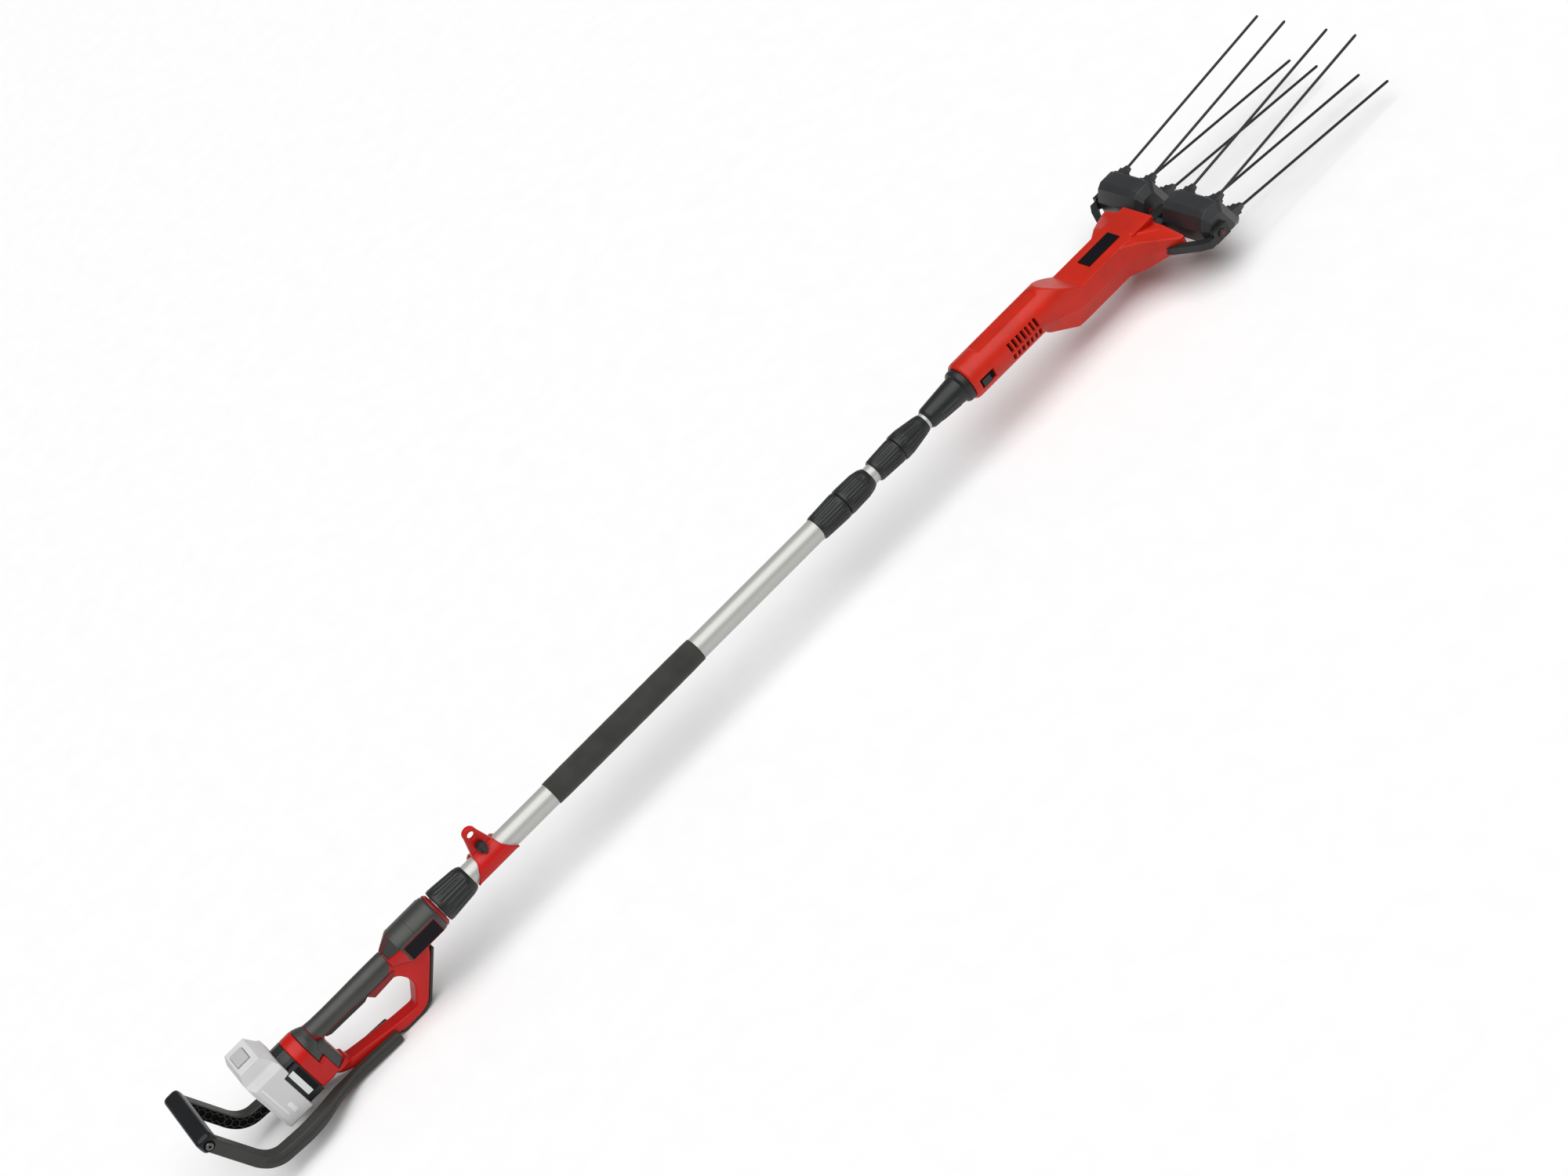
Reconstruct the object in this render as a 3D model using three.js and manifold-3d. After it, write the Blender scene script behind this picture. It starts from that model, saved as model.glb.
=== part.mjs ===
// Cordless telescopic fruit harvester: a battery handle with a D-shaped loop and a rear guard bow,
// a two-part aluminium pole with a twist clamp, and a motor head that rocks two four-tine rakes.
// Millimetres, +Z up. Along the tool, stations are counted from the back of the guard bow, X = 0,
// towards the tine tips. Heights are counted from the pole axis, z = 0, and Y = 0 is the mid plane.
// The last group shifts the whole tool so that the origin is under its middle, on the floor.
import * as THREE from 'three';
import { mergeVertices } from 'three/addons/utils/BufferGeometryUtils.js';
import Module from 'manifold-3d';

const wasm = await Module();
wasm.setup();

// ---------- driving dimensions ----------
const ROUND = 24;                 // sides of a round tube
const GAP = 0.3;                  // running or assembly gap between touching pieces
const FLOOR_DEPTH = 108;          // pole axis above the lowest point of the loop

const TUBE_R = 17.5;              // outer pole
const TUBE_BORE = 15.2;
const INNER_R = 14.3;             // telescoping inner pole
const INNER_BORE = 12.3;
const OUTER_TUBE = [401, 1243];   // stations of the two tube ends
const INNER_TUBE = [560, 1392];

const DOCK_X = [141, 167];
const DOCK_HALF = 31;
const DOCK_TOP = 21;
const DOCK_BOTTOM = -62;
const BATTERY_HALF = 38;

const GRIP_X = [214, 349];
const GRIP_Z = -1;
const GRIP_CORE_R = 13;
const GRIP_R = 15.5;
const BARREL_X = [373, 441];
const BARREL_R = 28;
const BARREL_CORE_R = 25;
const LOOP_HALF = 12;             // half thickness of the D loop

const ARM_HALF = 10;              // half of the square guard arm
const ARM_Y = 54;                 // guard arm centre, from the mid plane
const SCREW_AT = [13, 37];        // station and height of the two screws through the arm tops

const EAR_X = 548;
const EAR_HOLE_Z = 49;
const EAR_HOLE_R = 5.8;

const HEAD_X = 1490.4;            // back of the red head housing
const HEAD_R = 31.5;
const HEAD_WALL = 3;
const HEAD_SPLIT_Z = -16;
const HEAD_FRONT = 1850;
const VENT_X = 1564;              // first of the motor's breathing slots
const VENT_PITCH = 8.6;
const VENT_WIDE = 4;
const VENT_COUNT = 7;

const GEAR_MODULE = 1;
const PINION_TEETH = 12;
const GEAR_TEETH = 40;
const GEAR_X = [1668, 1676];
const CRANK_Z = -(PINION_TEETH + GEAR_TEETH) * GEAR_MODULE / 2;
const CRANK_THROW = 6.5;
const CRANK_PIN_R = 2;

const PIVOT_X = 1880;             // axis on which both rakes rock
const PIVOT_Z = -36;
const RAKE_Y = [20, 120];         // each rake, from the mid plane
const TINE_Y = [42, 98];
const TINE_R = 2.1;
const TINE_FREE = 296;
const TINE_SEAT = 12;
const TINE_SPLAY = 6.2 * Math.PI / 180;
const UPPER_BASE = [44, 26];      // where a tine leaves its socket, from the pivot
const LOWER_BASE = [64, -14];

const TIP_X = PIVOT_X + LOWER_BASE[0] + TINE_FREE * Math.cos(TINE_SPLAY);

// ---------- finishes ----------
const finish = (color, roughness, metalness = 0) => () =>
  new THREE.MeshStandardMaterial({ color, roughness, metalness });
const red = finish(0xc8221b, 0.42);
const deepRed = finish(0x9c1712, 0.45);
const rubber = finish(0x3a3d39, 0.8);
const black = finish(0x1c1d1f, 0.6);
const charcoal = finish(0x3b3c3e, 0.55);
const foam = finish(0x2e302f, 0.95);
const silver = finish(0xdedfdc, 0.35, 0.4);
const steel = finish(0x9a9c9e, 0.35, 1);
const packGrey = finish(0xc9cacb, 0.45);
const copper = finish(0x6b5a45, 0.5, 0.6);
const board = finish(0x1d5a3a, 0.6);

// ---------- solid helpers ----------
function toSolid(geometry) {
  const bare = geometry.clone();
  bare.deleteAttribute('normal');
  bare.deleteAttribute('uv');
  const merged = mergeVertices(bare, 1e-4);
  const index = merged.index.array;
  const kept = [];
  for (let i = 0; i < index.length; i += 3) {
    const [a, b, c] = [index[i], index[i + 1], index[i + 2]];
    if (a !== b && b !== c && c !== a) kept.push(a, b, c);
  }
  return new wasm.Manifold(new wasm.Mesh({
    numProp: 3,
    vertProperties: new Float32Array(merged.attributes.position.array),
    triVerts: new Uint32Array(kept),
  }));
}

function part(name, solid, material) {
  const raw = solid.getMesh();
  const geometry = new THREE.BufferGeometry();
  geometry.setAttribute('position', new THREE.BufferAttribute(new Float32Array(raw.vertProperties), 3));
  geometry.setIndex(new THREE.BufferAttribute(new Uint32Array(raw.triVerts), 1));
  geometry.computeVertexNormals();
  const mesh = new THREE.Mesh(geometry, material());
  mesh.name = name;
  return mesh;
}

// A box given by its low and high corner.
function box(low, high) {
  const size = high.map((v, i) => v - low[i]);
  const geometry = new THREE.BoxGeometry(...size);
  geometry.translate(...low.map((v, i) => v + size[i] / 2));
  return toSolid(geometry);
}

// A body turned about the X axis, from [station, radius] pairs that close on themselves.
function turned(profile, sides = ROUND, y = 0, z = 0) {
  const points = profile.map(([x, r]) => new THREE.Vector2(r, x));
  points.push(points[0].clone());
  const geometry = new THREE.LatheGeometry(points, sides);
  geometry.rotateZ(-Math.PI / 2);
  geometry.translate(0, y, z);
  return outward(toSolid(geometry));
}

// Turns a solid the right way out when its outline ran backwards.
function outward(solid) {
  if (solid.volume() > 0) return solid;
  const raw = solid.getMesh();
  const flipped = new Uint32Array(raw.triVerts);
  for (let i = 0; i < flipped.length; i += 3) {
    [flipped[i], flipped[i + 1]] = [flipped[i + 1], flipped[i]];
  }
  return new wasm.Manifold(new wasm.Mesh({
    numProp: 3, vertProperties: raw.vertProperties, triVerts: flipped,
  }));
}

const rod = (x0, x1, r, sides = ROUND, y = 0, z = 0) =>
  turned([[x0, 0], [x0, r], [x1, r], [x1, 0]], sides, y, z);
const sleeve = (x0, x1, outer, inner, sides = ROUND, y = 0, z = 0) =>
  turned([[x0, inner], [x0, outer], [x1, outer], [x1, inner]], sides, y, z);

function outline(points) {
  return new THREE.Shape(points.map(([u, v]) => new THREE.Vector2(u, v)));
}

function extruded(shape, depth, curveSegments = 12) {
  return new THREE.ExtrudeGeometry(shape, { depth, bevelEnabled: false, curveSegments });
}

// An outline in X and Z, carried from y0 to y1.
function prismY(shape, y0, y1) {
  const geometry = extruded(shape, y1 - y0);
  geometry.rotateX(Math.PI / 2);
  geometry.translate(0, y1, 0);
  return outward(toSolid(geometry));
}

// An outline in X and Y, carried from z0 to z1.
function prismZ(shape, z0, z1) {
  const geometry = extruded(shape, z1 - z0);
  geometry.translate(0, 0, z0);
  return outward(toSolid(geometry));
}

// An outline in Y and Z, carried from x0 to x1.
function prismX(shape, x0, x1) {
  const geometry = extruded(shape, x1 - x0);
  geometry.rotateY(Math.PI / 2);
  geometry.rotateX(Math.PI / 2);
  geometry.translate(x0, 0, 0);
  return outward(toSolid(geometry));
}

// A round rod along Y.
function rodY(x, z, y0, y1, r, sides = 16) {
  const geometry = new THREE.CylinderGeometry(r, r, y1 - y0, sides);
  geometry.translate(x, (y0 + y1) / 2, z);
  return toSolid(geometry);
}

// Joins rings of equal point count into one closed body; the end rings are closed by fans.
function loft(rings) {
  const count = rings[0].length;
  const vertices = rings.flat().flat();
  const faces = [];
  for (let k = 0; k + 1 < rings.length; k += 1) {
    for (let i = 0; i < count; i += 1) {
      const j = (i + 1) % count;
      const [a, b, c, d] = [k * count + i, k * count + j, (k + 1) * count + j, (k + 1) * count + i];
      faces.push(a, b, c, a, c, d);
    }
  }
  const ends = [[rings[0], 0, true], [rings.at(-1), (rings.length - 1) * count, false]];
  for (const [ring, start, first] of ends) {
    const middle = vertices.length / 3;
    for (let axis = 0; axis < 3; axis += 1) {
      vertices.push(ring.reduce((sum, point) => sum + point[axis], 0) / count);
    }
    for (let i = 0; i < count; i += 1) {
      const j = (i + 1) % count;
      if (first) faces.push(middle, start + j, start + i);
      else faces.push(middle, start + i, start + j);
    }
  }
  return outward(new wasm.Manifold(new wasm.Mesh({
    numProp: 3, vertProperties: new Float32Array(vertices), triVerts: new Uint32Array(faces),
  })));
}

// An arched section in Y and Z: straight sides under a half-ellipse top.
function archRing(x, half, top, bottom, spring) {
  const ring = [];
  for (let i = 0; i <= 12; i += 1) {
    const angle = Math.PI * i / 12;
    ring.push([x, half * Math.cos(angle), spring + (top - spring) * Math.sin(angle)]);
  }
  const corner = 6;
  ring.push([x, -half, bottom + corner], [x, -half + corner, bottom]);
  ring.push([x, half - corner, bottom], [x, half, bottom + corner]);
  return ring;
}

// ---------- handle ----------
const LOOP_HOLE = [[219, -11], [214, -16], [214, -62], [219, -70.5], [294, -84.5], [333, -89],
  [352, -60], [352, -44], [345, -30], [336, -24], [302, -21], [293, -11]];
const LOOP_OUTER = [[172, -5], [172, -61], [196, -78], [217, -89], [294, -100], [300, -103],
  [334, -103], [350, -97], [396, -42], [406, -30], [406, -5]];

function handleBody() {
  const block = loft([
    archRing(DOCK_X[1] + GAP, DOCK_HALF, DOCK_TOP, DOCK_BOTTOM, -8),
    archRing(188, DOCK_HALF, DOCK_TOP, DOCK_BOTTOM, -8),
  ]);
  const loop = outline(LOOP_OUTER);
  loop.holes.push(outline(LOOP_HOLE));
  const core = turned([[180, 0], [180, GRIP_CORE_R], [350, GRIP_CORE_R], [BARREL_X[0], BARREL_CORE_R],
    [BARREL_X[1], BARREL_CORE_R], [BARREL_X[1], 0]]);
  return block.add(prismY(loop, -LOOP_HALF, LOOP_HALF)).add(core)
    .subtract(rod(160, 445, 8, 16))
    .subtract(rod(OUTER_TUBE[0] - 0.5, 445, TUBE_R + GAP))
    .subtract(box([160, -25, -54], [184, 25, 8]))
    .subtract(box([213, -7.5, -30], [302, 7.5, -3]));
}

function handleShells() {
  const whole = handleBody();
  const far = box([100, 0.15, -200], [500, 100, 100]);
  const near = box([100, -100, -200], [500, -0.15, 100]);
  return [
    part('handle_shell_left', whole.intersect(far), red),
    part('handle_shell_right', whole.intersect(near), red),
  ];
}

function gripRubber() {
  const solid = sleeve(GRIP_X[0], GRIP_X[1], GRIP_R, GRIP_CORE_R + GAP, ROUND, 0, 0)
    .subtract(box([200, -LOOP_HALF - GAP, -40], [360, LOOP_HALF + GAP, -2]));
  return part('grip_rubber', solid, rubber);
}

function neckPanel() {
  const solid = loft([
    archRing(188.3, 30, 20, -55, -8),
    archRing(204, 24, 17, -57, -8),
    archRing(GRIP_X[0] - GAP, 20, 15.5, -58, -4),
  ]).subtract(rod(180, 220, GRIP_CORE_R + GAP))
    .subtract(box([180, -LOOP_HALF - GAP, -110], [220, LOOP_HALF + GAP, -2]));
  return part('neck_panel', solid, rubber);
}

function barrelRubber() {
  const solid = turned([[350.3, GRIP_CORE_R + 2.4], [350.3, GRIP_CORE_R + 0.6], [372.6, BARREL_CORE_R + GAP],
    [440.8, BARREL_CORE_R + GAP], [440.8, BARREL_R - 1], [438, BARREL_R], [375, BARREL_R]])
    .subtract(box([340, -LOOP_HALF - GAP, -60], [410, LOOP_HALF + GAP, -2]));
  return part('barrel_rubber', solid, rubber);
}

function barrelRing() {
  return part('barrel_ring', turned([[441.3, TUBE_R + GAP], [441.3, 27], [444, 26.5], [447.5, 23.5],
    [447.5, TUBE_R + GAP]]), deepRed);
}

function loopBumper() {
  const inner = [[296, -101.6], [299.8, -103.6], [334.4, -103.6], [350.6, -97.4], [396.6, -42], [403.6, -33.6]];
  const outer = [[407, -36.5], [400.4, -44.6], [354, -101], [337, -108], [300, -108], [293, -104]];
  return part('loop_bumper', prismY(outline([...inner, ...outer]), -10, 10), black);
}

function batteryDock() {
  const upper = loft([
    archRing(151, DOCK_HALF - 0.5, DOCK_TOP - 0.5, -20, -8),
    archRing(DOCK_X[1], DOCK_HALF - 0.5, DOCK_TOP - 0.5, -20, -8),
  ]);
  const lower = box([DOCK_X[0], -DOCK_HALF + 0.5, DOCK_BOTTOM + 3], [DOCK_X[1], DOCK_HALF - 0.5, 6]);
  const railSlot = box([DOCK_X[0] - 1, -15, -42], [DOCK_X[0] + 4, 15, 2]);
  return part('battery_dock', upper.add(lower).subtract(railSlot), black);
}

function terminalBlock() {
  const stem = box([130, -14, -40], [DOCK_X[0] + 3.7, 14, 0]);
  const flange = box([127, -18, -40], [132, 18, 0]);
  return part('terminal_block', stem.add(flange), black);
}

function handleInside() {
  return [
    part('control_board', box([171, -21, -50], [175, 21, 2]), board),
    part('trigger_switch', box([226, -5.5, -2.5], [262, 5.5, 5.5]), charcoal),
    part('handle_lead', rod(266, 640, 3, 8), black),
  ];
}

function trigger() {
  const paddle = outline([[218, -11], [286, -11], [291, -9], [297, -12], [297, -19], [288, -23],
    [226, -21.5], [218, -18]]);
  return part('trigger', prismY(paddle, -6.5, 6.5), black);
}

function handlePlates() {
  return [
    part('handle_nameplate', box([376, -29.6, -12], [432, -28.3, 13]), black),
    part('dock_label', box([146, -32, -48], [163, -30.8, 0]), black),
  ];
}

// ---------- guard bow ----------
// Each stop is station, side, height, half width and half height of the arm's section.
const ARM_ROUTE = [[12.2, ARM_Y, 43.5, ARM_HALF, ARM_HALF], [41, ARM_Y, -46, ARM_HALF, ARM_HALF],
  [50, ARM_Y, -60, ARM_HALF, ARM_HALF], [64, ARM_Y, -69, ARM_HALF, ARM_HALF],
  [112, ARM_Y, -73, ARM_HALF, ARM_HALF], [142, 50, -74, ARM_HALF, 9.4], [172, 34, -80.3, 8.5, 8],
  [208, 17.4, -92, 5.1, 8.3], [290, 17.4, -97, 5.1, 8.3]];
const ARM_CHAMFER = 0.25;         // corner chamfer, as a share of the half section

function guardArm(side) {
  const rings = ARM_ROUTE.map(([x, y, z, halfWide, halfTall], i) => {
    const before = ARM_ROUTE[Math.max(i - 1, 0)];
    const after = ARM_ROUTE[Math.min(i + 1, ARM_ROUTE.length - 1)];
    const run = new THREE.Vector3(after[0] - before[0], 0, after[2] - before[2]).normalize();
    const up = [-run.z, run.x];
    const c = 1 - ARM_CHAMFER;
    const corners = [[1, c], [c, 1], [-c, 1], [-1, c], [-1, -c], [-c, -1], [c, -1], [1, -c]];
    return corners.map(([u, v]) =>
      [x + up[0] * v * halfTall, side * (y + u * halfWide), z + up[1] * v * halfTall]);
  });
  const name = side > 0 ? 'guard_arm_left' : 'guard_arm_right';
  const bolt = rodY(...SCREW_AT, side * ARM_Y - 30, side * ARM_Y + 30, 3.4);
  return part(name, loft(rings).subtract(bolt), charcoal);
}

function guardCrossbar() {
  const c = 5;
  const section = outline([[c, 26], [24 - c, 26], [24, 26 + c], [24, 50 - c], [24 - c, 50], [c, 50],
    [0, 50 - c], [0, 26 + c]]);
  const span = ARM_Y + ARM_HALF;
  const lug = [[-5, 25], [30, 25], [30, 51], [-5, 51]];
  let solid = prismY(section, -span, span);
  for (const side of [-1, 1]) {
    const [low, high] = side > 0 ? [ARM_Y - ARM_HALF - GAP, span + 1] : [-span - 1, -ARM_Y + ARM_HALF + GAP];
    solid = solid.subtract(prismY(outline(lug), low, high));
  }
  return part('guard_crossbar', solid, black);
}

function guardScrew(side) {
  const head = rodY(...SCREW_AT, ...(side > 0 ? [64.3, 67.3] : [-67.3, -64.3]), 6.2);
  const shank = rodY(...SCREW_AT, ...(side > 0 ? [44.2, 65] : [-65, -44.2]), 3);
  return part(side > 0 ? 'guard_screw_left' : 'guard_screw_right', head.add(shank), steel);
}

// ---------- battery ----------
function batteryCase() {
  const side = outline([[97, -58], [101, -64], [136, -64], [140.6, -60], [140.6, 6.5], [150.6, 8],
    [150.6, 28], [138, 56], [104, 56], [97, 40], [96, 10]]);
  const front = outline([[-38, -59], [-33, -64], [33, -64], [38, -59], [38, 24], [30, 36], [28, 56],
    [-28, 56], [-30, 36], [-38, 24]]);
  const plan = outline([[96, -32], [102, -38], [160, -38], [160, 38], [102, 38], [96, 32]]);
  const solid = prismY(side, -BATTERY_HALF, BATTERY_HALF)
    .intersect(prismX(front, 90, 160))
    .intersect(prismZ(plan, -70, 60))
    .subtract(box([126, -18.6, -70], [132.6, 18.6, 1]))
    .subtract(box([130, -14.6, -70], [145, 14.6, 1]))
    .subtract(box([108, -15, 42], [130, 15, 60]));
  return part('battery_case', solid, packGrey);
}

function batteryLatch() {
  return part('battery_latch', box([108.5, -14.5, 47], [129.5, 14.5, 59]), packGrey);
}

// ---------- pole ----------
function poleParts() {
  return [
    part('outer_tube', sleeve(...OUTER_TUBE, TUBE_R, TUBE_BORE), silver),
    part('inner_tube', sleeve(...INNER_TUBE, INNER_R, INNER_BORE), silver),
    part('foam_sleeve', sleeve(668, 953, 19.2, TUBE_R + GAP), foam),
    part('coiled_lead', turned([[660, 0], [660, 9], [1396, 9], [1400, 3], [1516, 3], [1516, 0]], 12), black),
    part('coupling_nut', turned([[449, 24.5], [452, 26.5], [498, 22.5], [505, 20.5], [508, 18.8],
      [508, TUBE_R + GAP], [449, TUBE_R + GAP]]), black),
    part('clamp_body', turned([[1193, 18.6], [1196, 19.6], [1238, 21.6], [1243, 21.4],
      [1243, TUBE_R + GAP], [1193, TUBE_R + GAP]]), black),
    part('clamp_sleeve', sleeve(1244, 1290, 17, INNER_R + GAP), charcoal),
    part('clamp_collar', turned([[1245, 21.4], [1250, 21.8], [1282, 20.4], [1294, 18], [1298, 15.6],
      [1298, INNER_R + GAP + 0.1], [1291, INNER_R + GAP + 0.1], [1291, 17.35], [1245, 17.35]]), black),
  ];
}

function strapBracket() {
  const skirt = outline([[509, -11], [587, -11], [574, 6], [566, 25], [530, 25], [522, 6]]);
  const ear = new THREE.Shape();
  ear.moveTo(529, 16);
  ear.lineTo(537.3, 54);
  ear.absarc(EAR_X, 51.5, 11, Math.PI - 0.23, 0.23, true);
  ear.lineTo(567, 16);
  const solid = rod(505, 590, 21.5, ROUND).intersect(prismY(skirt, -30, 30))
    .add(prismY(ear, -4, 4))
    .subtract(rod(500, 600, TUBE_R + GAP))
    .subtract(rodY(EAR_X, EAR_HOLE_Z, -10, 10, EAR_HOLE_R, 24))
    .subtract(rodY(EAR_X, 29, -30, 30, 2.9));
  return part('strap_bracket', solid, red);
}

function bracketKnob() {
  const wing = box([545, -17, 20], [551, -11, 38]);
  const solid = rodY(EAR_X, 29, -14, -4.4, 7.5, 20).add(wing).add(rodY(EAR_X, 29, -6, 8, 2.5));
  return part('bracket_knob', solid, black);
}

// ---------- head coupling ----------
function headCoupling() {
  return [
    part('head_ring', turned([[1309, 16.6], [1312, 17.8], [1350, 19.9], [1355, 19.7],
      [1355, INNER_R + GAP], [1309, INNER_R + GAP]]), black),
    part('head_cone', turned([[1355.4, 20.4], [1358, 21.2], [1370, 20.8], [1404, 15.6], [1409, 14.2],
      [1409, 10], [1393, 10], [1393, INNER_R + GAP], [1355.4, INNER_R + GAP]]), black),
    part('neck_band', sleeve(1409.4, 1414, 13.4, 10), silver),
    part('head_neck', turned([[1414.4, 14.6], [1419, 16.8], [1478, 21.6], [1480, 25.4], [1489.8, 26.6],
      [1489.8, 10], [1414.4, 10]]), black),
  ];
}

// ---------- head housing ----------
// Half sections of the housing, listed from the top middle down one side to the bottom middle.
const SIDE_POINTS = 10;
const circleHalf = (r) => Array.from({ length: SIDE_POINTS }, (_, i) => {
  const angle = Math.PI / 2 - Math.PI * i / (SIDE_POINTS - 1);
  return [r * Math.cos(angle), r * Math.sin(angle)];
});
const boxHalf = (half, top, waist, foot, bottom) => [[0, top], [half * 0.5, top], [half * 0.94, top], [half, top - 2],
  [half, top * 0.6 + waist * 0.4], [half, waist], [(half + foot) / 2, (waist + bottom) / 2], [foot, bottom + 2],
  [foot * 0.9, bottom], [0, bottom]];

function blend(a, b, share) {
  return a.map(([y, z], i) => [y + (b[i][0] - y) * share, z + (b[i][1] - z) * share]);
}

// The upper points lag the lower ones along the dog-leg, because the belly drops before the back does.
function dogLeg(upperShare, lowerShare) {
  const round = circleHalf(HEAD_R);
  const upper = blend(round, BODY_HALF, upperShare);
  const lower = blend(round, BODY_HALF, lowerShare);
  return upper.map((point, i) => (i < SIDE_POINTS / 2 ? point : lower[i]));
}

const BODY_HALF = boxHalf(32, -3, -31, 24, -61);
const FRONT_HALF = boxHalf(85, -17, -38, 78, -49);
// Towards the front the sides spread first, and the deck drops only past the name plate.
const fan = (spread, drop) => BODY_HALF.map(([y, z], i) =>
  [y + (FRONT_HALF[i][0] - y) * spread, z + (FRONT_HALF[i][1] - z) * drop]);
const HEAD_SECTIONS = [
  [HEAD_X, circleHalf(28)],
  [1497, circleHalf(HEAD_R)],
  [1636, circleHalf(HEAD_R)],
  [1657, dogLeg(0, 0.5)],
  [1678, dogLeg(0.6, 1)],
  [1692, BODY_HALF],
  [1782, BODY_HALF],
  [1804, fan(0.35, 0)],
  [HEAD_FRONT - 6, FRONT_HALF],
  [HEAD_FRONT, blend(FRONT_HALF, BODY_HALF, 0.03)],
];

function fullRing(x, half, inset) {
  const middle = (half[0][1] + half.at(-1)[1]) / 2;
  const reachY = Math.max(...half.map(([y]) => y));
  const reachZ = (half[0][1] - half.at(-1)[1]) / 2;
  const shrunk = half.map(([y, z]) => [y * (1 - inset / reachY), middle + (z - middle) * (1 - inset / reachZ)]);
  const far = shrunk.map(([y, z]) => [x, y, z]);
  const near = shrunk.slice(1, -1).reverse().map(([y, z]) => [x, -y, z]);
  return [...far, ...near];
}

function headShell() {
  const outer = loft(HEAD_SECTIONS.map(([x, half]) => fullRing(x, half, 0)));
  const inside = HEAD_SECTIONS.map(([x, half], i) => {
    const last = i === HEAD_SECTIONS.length - 1;
    return fullRing(i === 0 ? x + HEAD_WALL : x + (last ? 5 : 0), half, HEAD_WALL);
  });
  let shell = outer.subtract(loft(inside)).subtract(rod(1480, 1500, 10.5));
  for (const side of [-1, 1]) {
    const wall = side > 0 ? [54, 100] : [-100, -54];
    shell = shell.subtract(box([1822, wall[0], -46.5], [1860, wall[1], -26]));
  }
  for (let i = 0; i < VENT_COUNT; i += 1) {
    const x = VENT_X + i * VENT_PITCH;
    shell = shell.subtract(box([x, -40, -1], [x + VENT_WIDE, -15, 14]));
    shell = shell.subtract(box([x, -40, -14], [x + VENT_WIDE, -15, -5]));
  }
  return shell.subtract(box([1502, -40, -9], [1526, -20, 3]));
}

function headHousing() {
  const whole = headShell();
  return [
    part('housing_top', whole.intersect(box([1400, -200, HEAD_SPLIT_Z + 0.15], [2000, 200, 100])), red),
    part('housing_bottom', whole.intersect(box([1400, -200, -200], [2000, 200, HEAD_SPLIT_Z - 0.15])), red),
    part('head_nameplate', box([1738, -13, -2.7], [1801, 13, -1.4]), black),
  ];
}

function headSwitch() {
  return part('head_switch', box([1503, -32.6, -8.5], [1518, -24, 2.5]), black);
}

// ---------- drive ----------
// The bearing plates follow the housing's lower section, narrower towards the belly.
const PLATE_OUTLINE = [[-26, -13.5], [-26, -30], [-18, -51], [18, -51], [26, -30], [26, -13.5]];

function toothedWheel(teeth, x0, x1, z, turn) {
  const pitch = teeth * GEAR_MODULE / 2;
  const [tip, root] = [pitch + 0.75, pitch - 1.1];
  const points = [];
  for (let i = 0; i < teeth; i += 1) {
    for (const [share, radius] of [[-0.36, root], [-0.13, tip], [0.13, tip], [0.36, root]]) {
      const angle = 2 * Math.PI * (i + share) / teeth + turn;
      points.push([radius * Math.cos(angle), z + radius * Math.sin(angle)]);
    }
  }
  return prismX(outline(points), x0, x1);
}

function driveParts() {
  const pinionTurn = -Math.PI / 2;
  const gearTurn = Math.PI / 2 + Math.PI / GEAR_TEETH;
  const pinion = toothedWheel(PINION_TEETH, GEAR_X[0], GEAR_X[1], 0, pinionTurn).add(rod(1648, 1680, 2.5, 12));
  let crank = toothedWheel(GEAR_TEETH, GEAR_X[0], GEAR_X[1], CRANK_Z, gearTurn)
    .add(rod(1662, 1811, 4, 16, 0, CRANK_Z)).add(rod(1810, 1816, 11, ROUND, 0, CRANK_Z));
  for (const side of [-1, 1]) {
    crank = crank.add(rod(1815, 1825, CRANK_PIN_R, 12, side * CRANK_THROW, CRANK_Z));
  }
  const ring = (x0) => sleeve(x0, x0 + 8, 11, 4.3, ROUND, 0, CRANK_Z);
  const plate = prismX(outline(PLATE_OUTLINE), 1681.5, 1690.5)
    .subtract(rod(1680, 1692, 11.3, ROUND, 0, CRANK_Z));
  return [
    part('motor', rod(1545, 1636, 22).add(rod(1635, 1647, 6, 16)), copper),
    part('motor_pinion', pinion, steel),
    part('crank_gear', crank, steel),
    part('bearing_rear', ring(1682), steel),
    part('bearing_front', ring(1796), steel),
    part('gearbox_plate', plate, charcoal),
  ];
}

// ---------- yoke and rakes ----------
function yoke() {
  const rear = prismX(outline(PLATE_OUTLINE), 1795.5, 1804.5)
    .subtract(rod(1790, 1808, 11.3, ROUND, 0, CRANK_Z));
  const floor = box([1796, -24, -45], [1826, 24, -41]);
  const web = box([1820, -9, -46], [1868, 9, -41]);
  const boss = box([1864, -9, -46], [1893, 9, -29]);
  let solid = rear.add(floor).add(web).add(boss);
  for (const side of [-1, 1]) {
    const route = [[1810, 20], [1810, 40], [1822.8, 52], [1827, 76], [1846, 114], [1857, 128.5], [1893, 128.5],
      [1893, 121.5], [1864, 121.5], [1856, 110], [1841, 82], [1830, 56], [1826, 20]];
    const arm = prismZ(outline(route.map(([x, y]) => [x, side * y])), -45, -33);
    const pad = side > 0 ? box([1866, 121.5, -46], [1893, 128.5, -26]) : box([1866, -128.5, -46], [1893, -121.5, -26]);
    solid = solid.add(arm).add(pad);
  }
  return part('yoke', solid.subtract(rodY(PIVOT_X, PIVOT_Z, -140, 140, 4.3)), black);
}

function rockerShaft() {
  let solid = rodY(PIVOT_X, PIVOT_Z, -130, 130, 4);
  for (const side of [-1, 1]) {
    const [low, high] = side > 0 ? [128.8, 131.5] : [-131.5, -128.8];
    solid = solid.add(rodY(PIVOT_X, PIVOT_Z, low, high, 6.5, 20));
  }
  return part('rocker_shaft', solid, deepRed);
}

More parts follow.
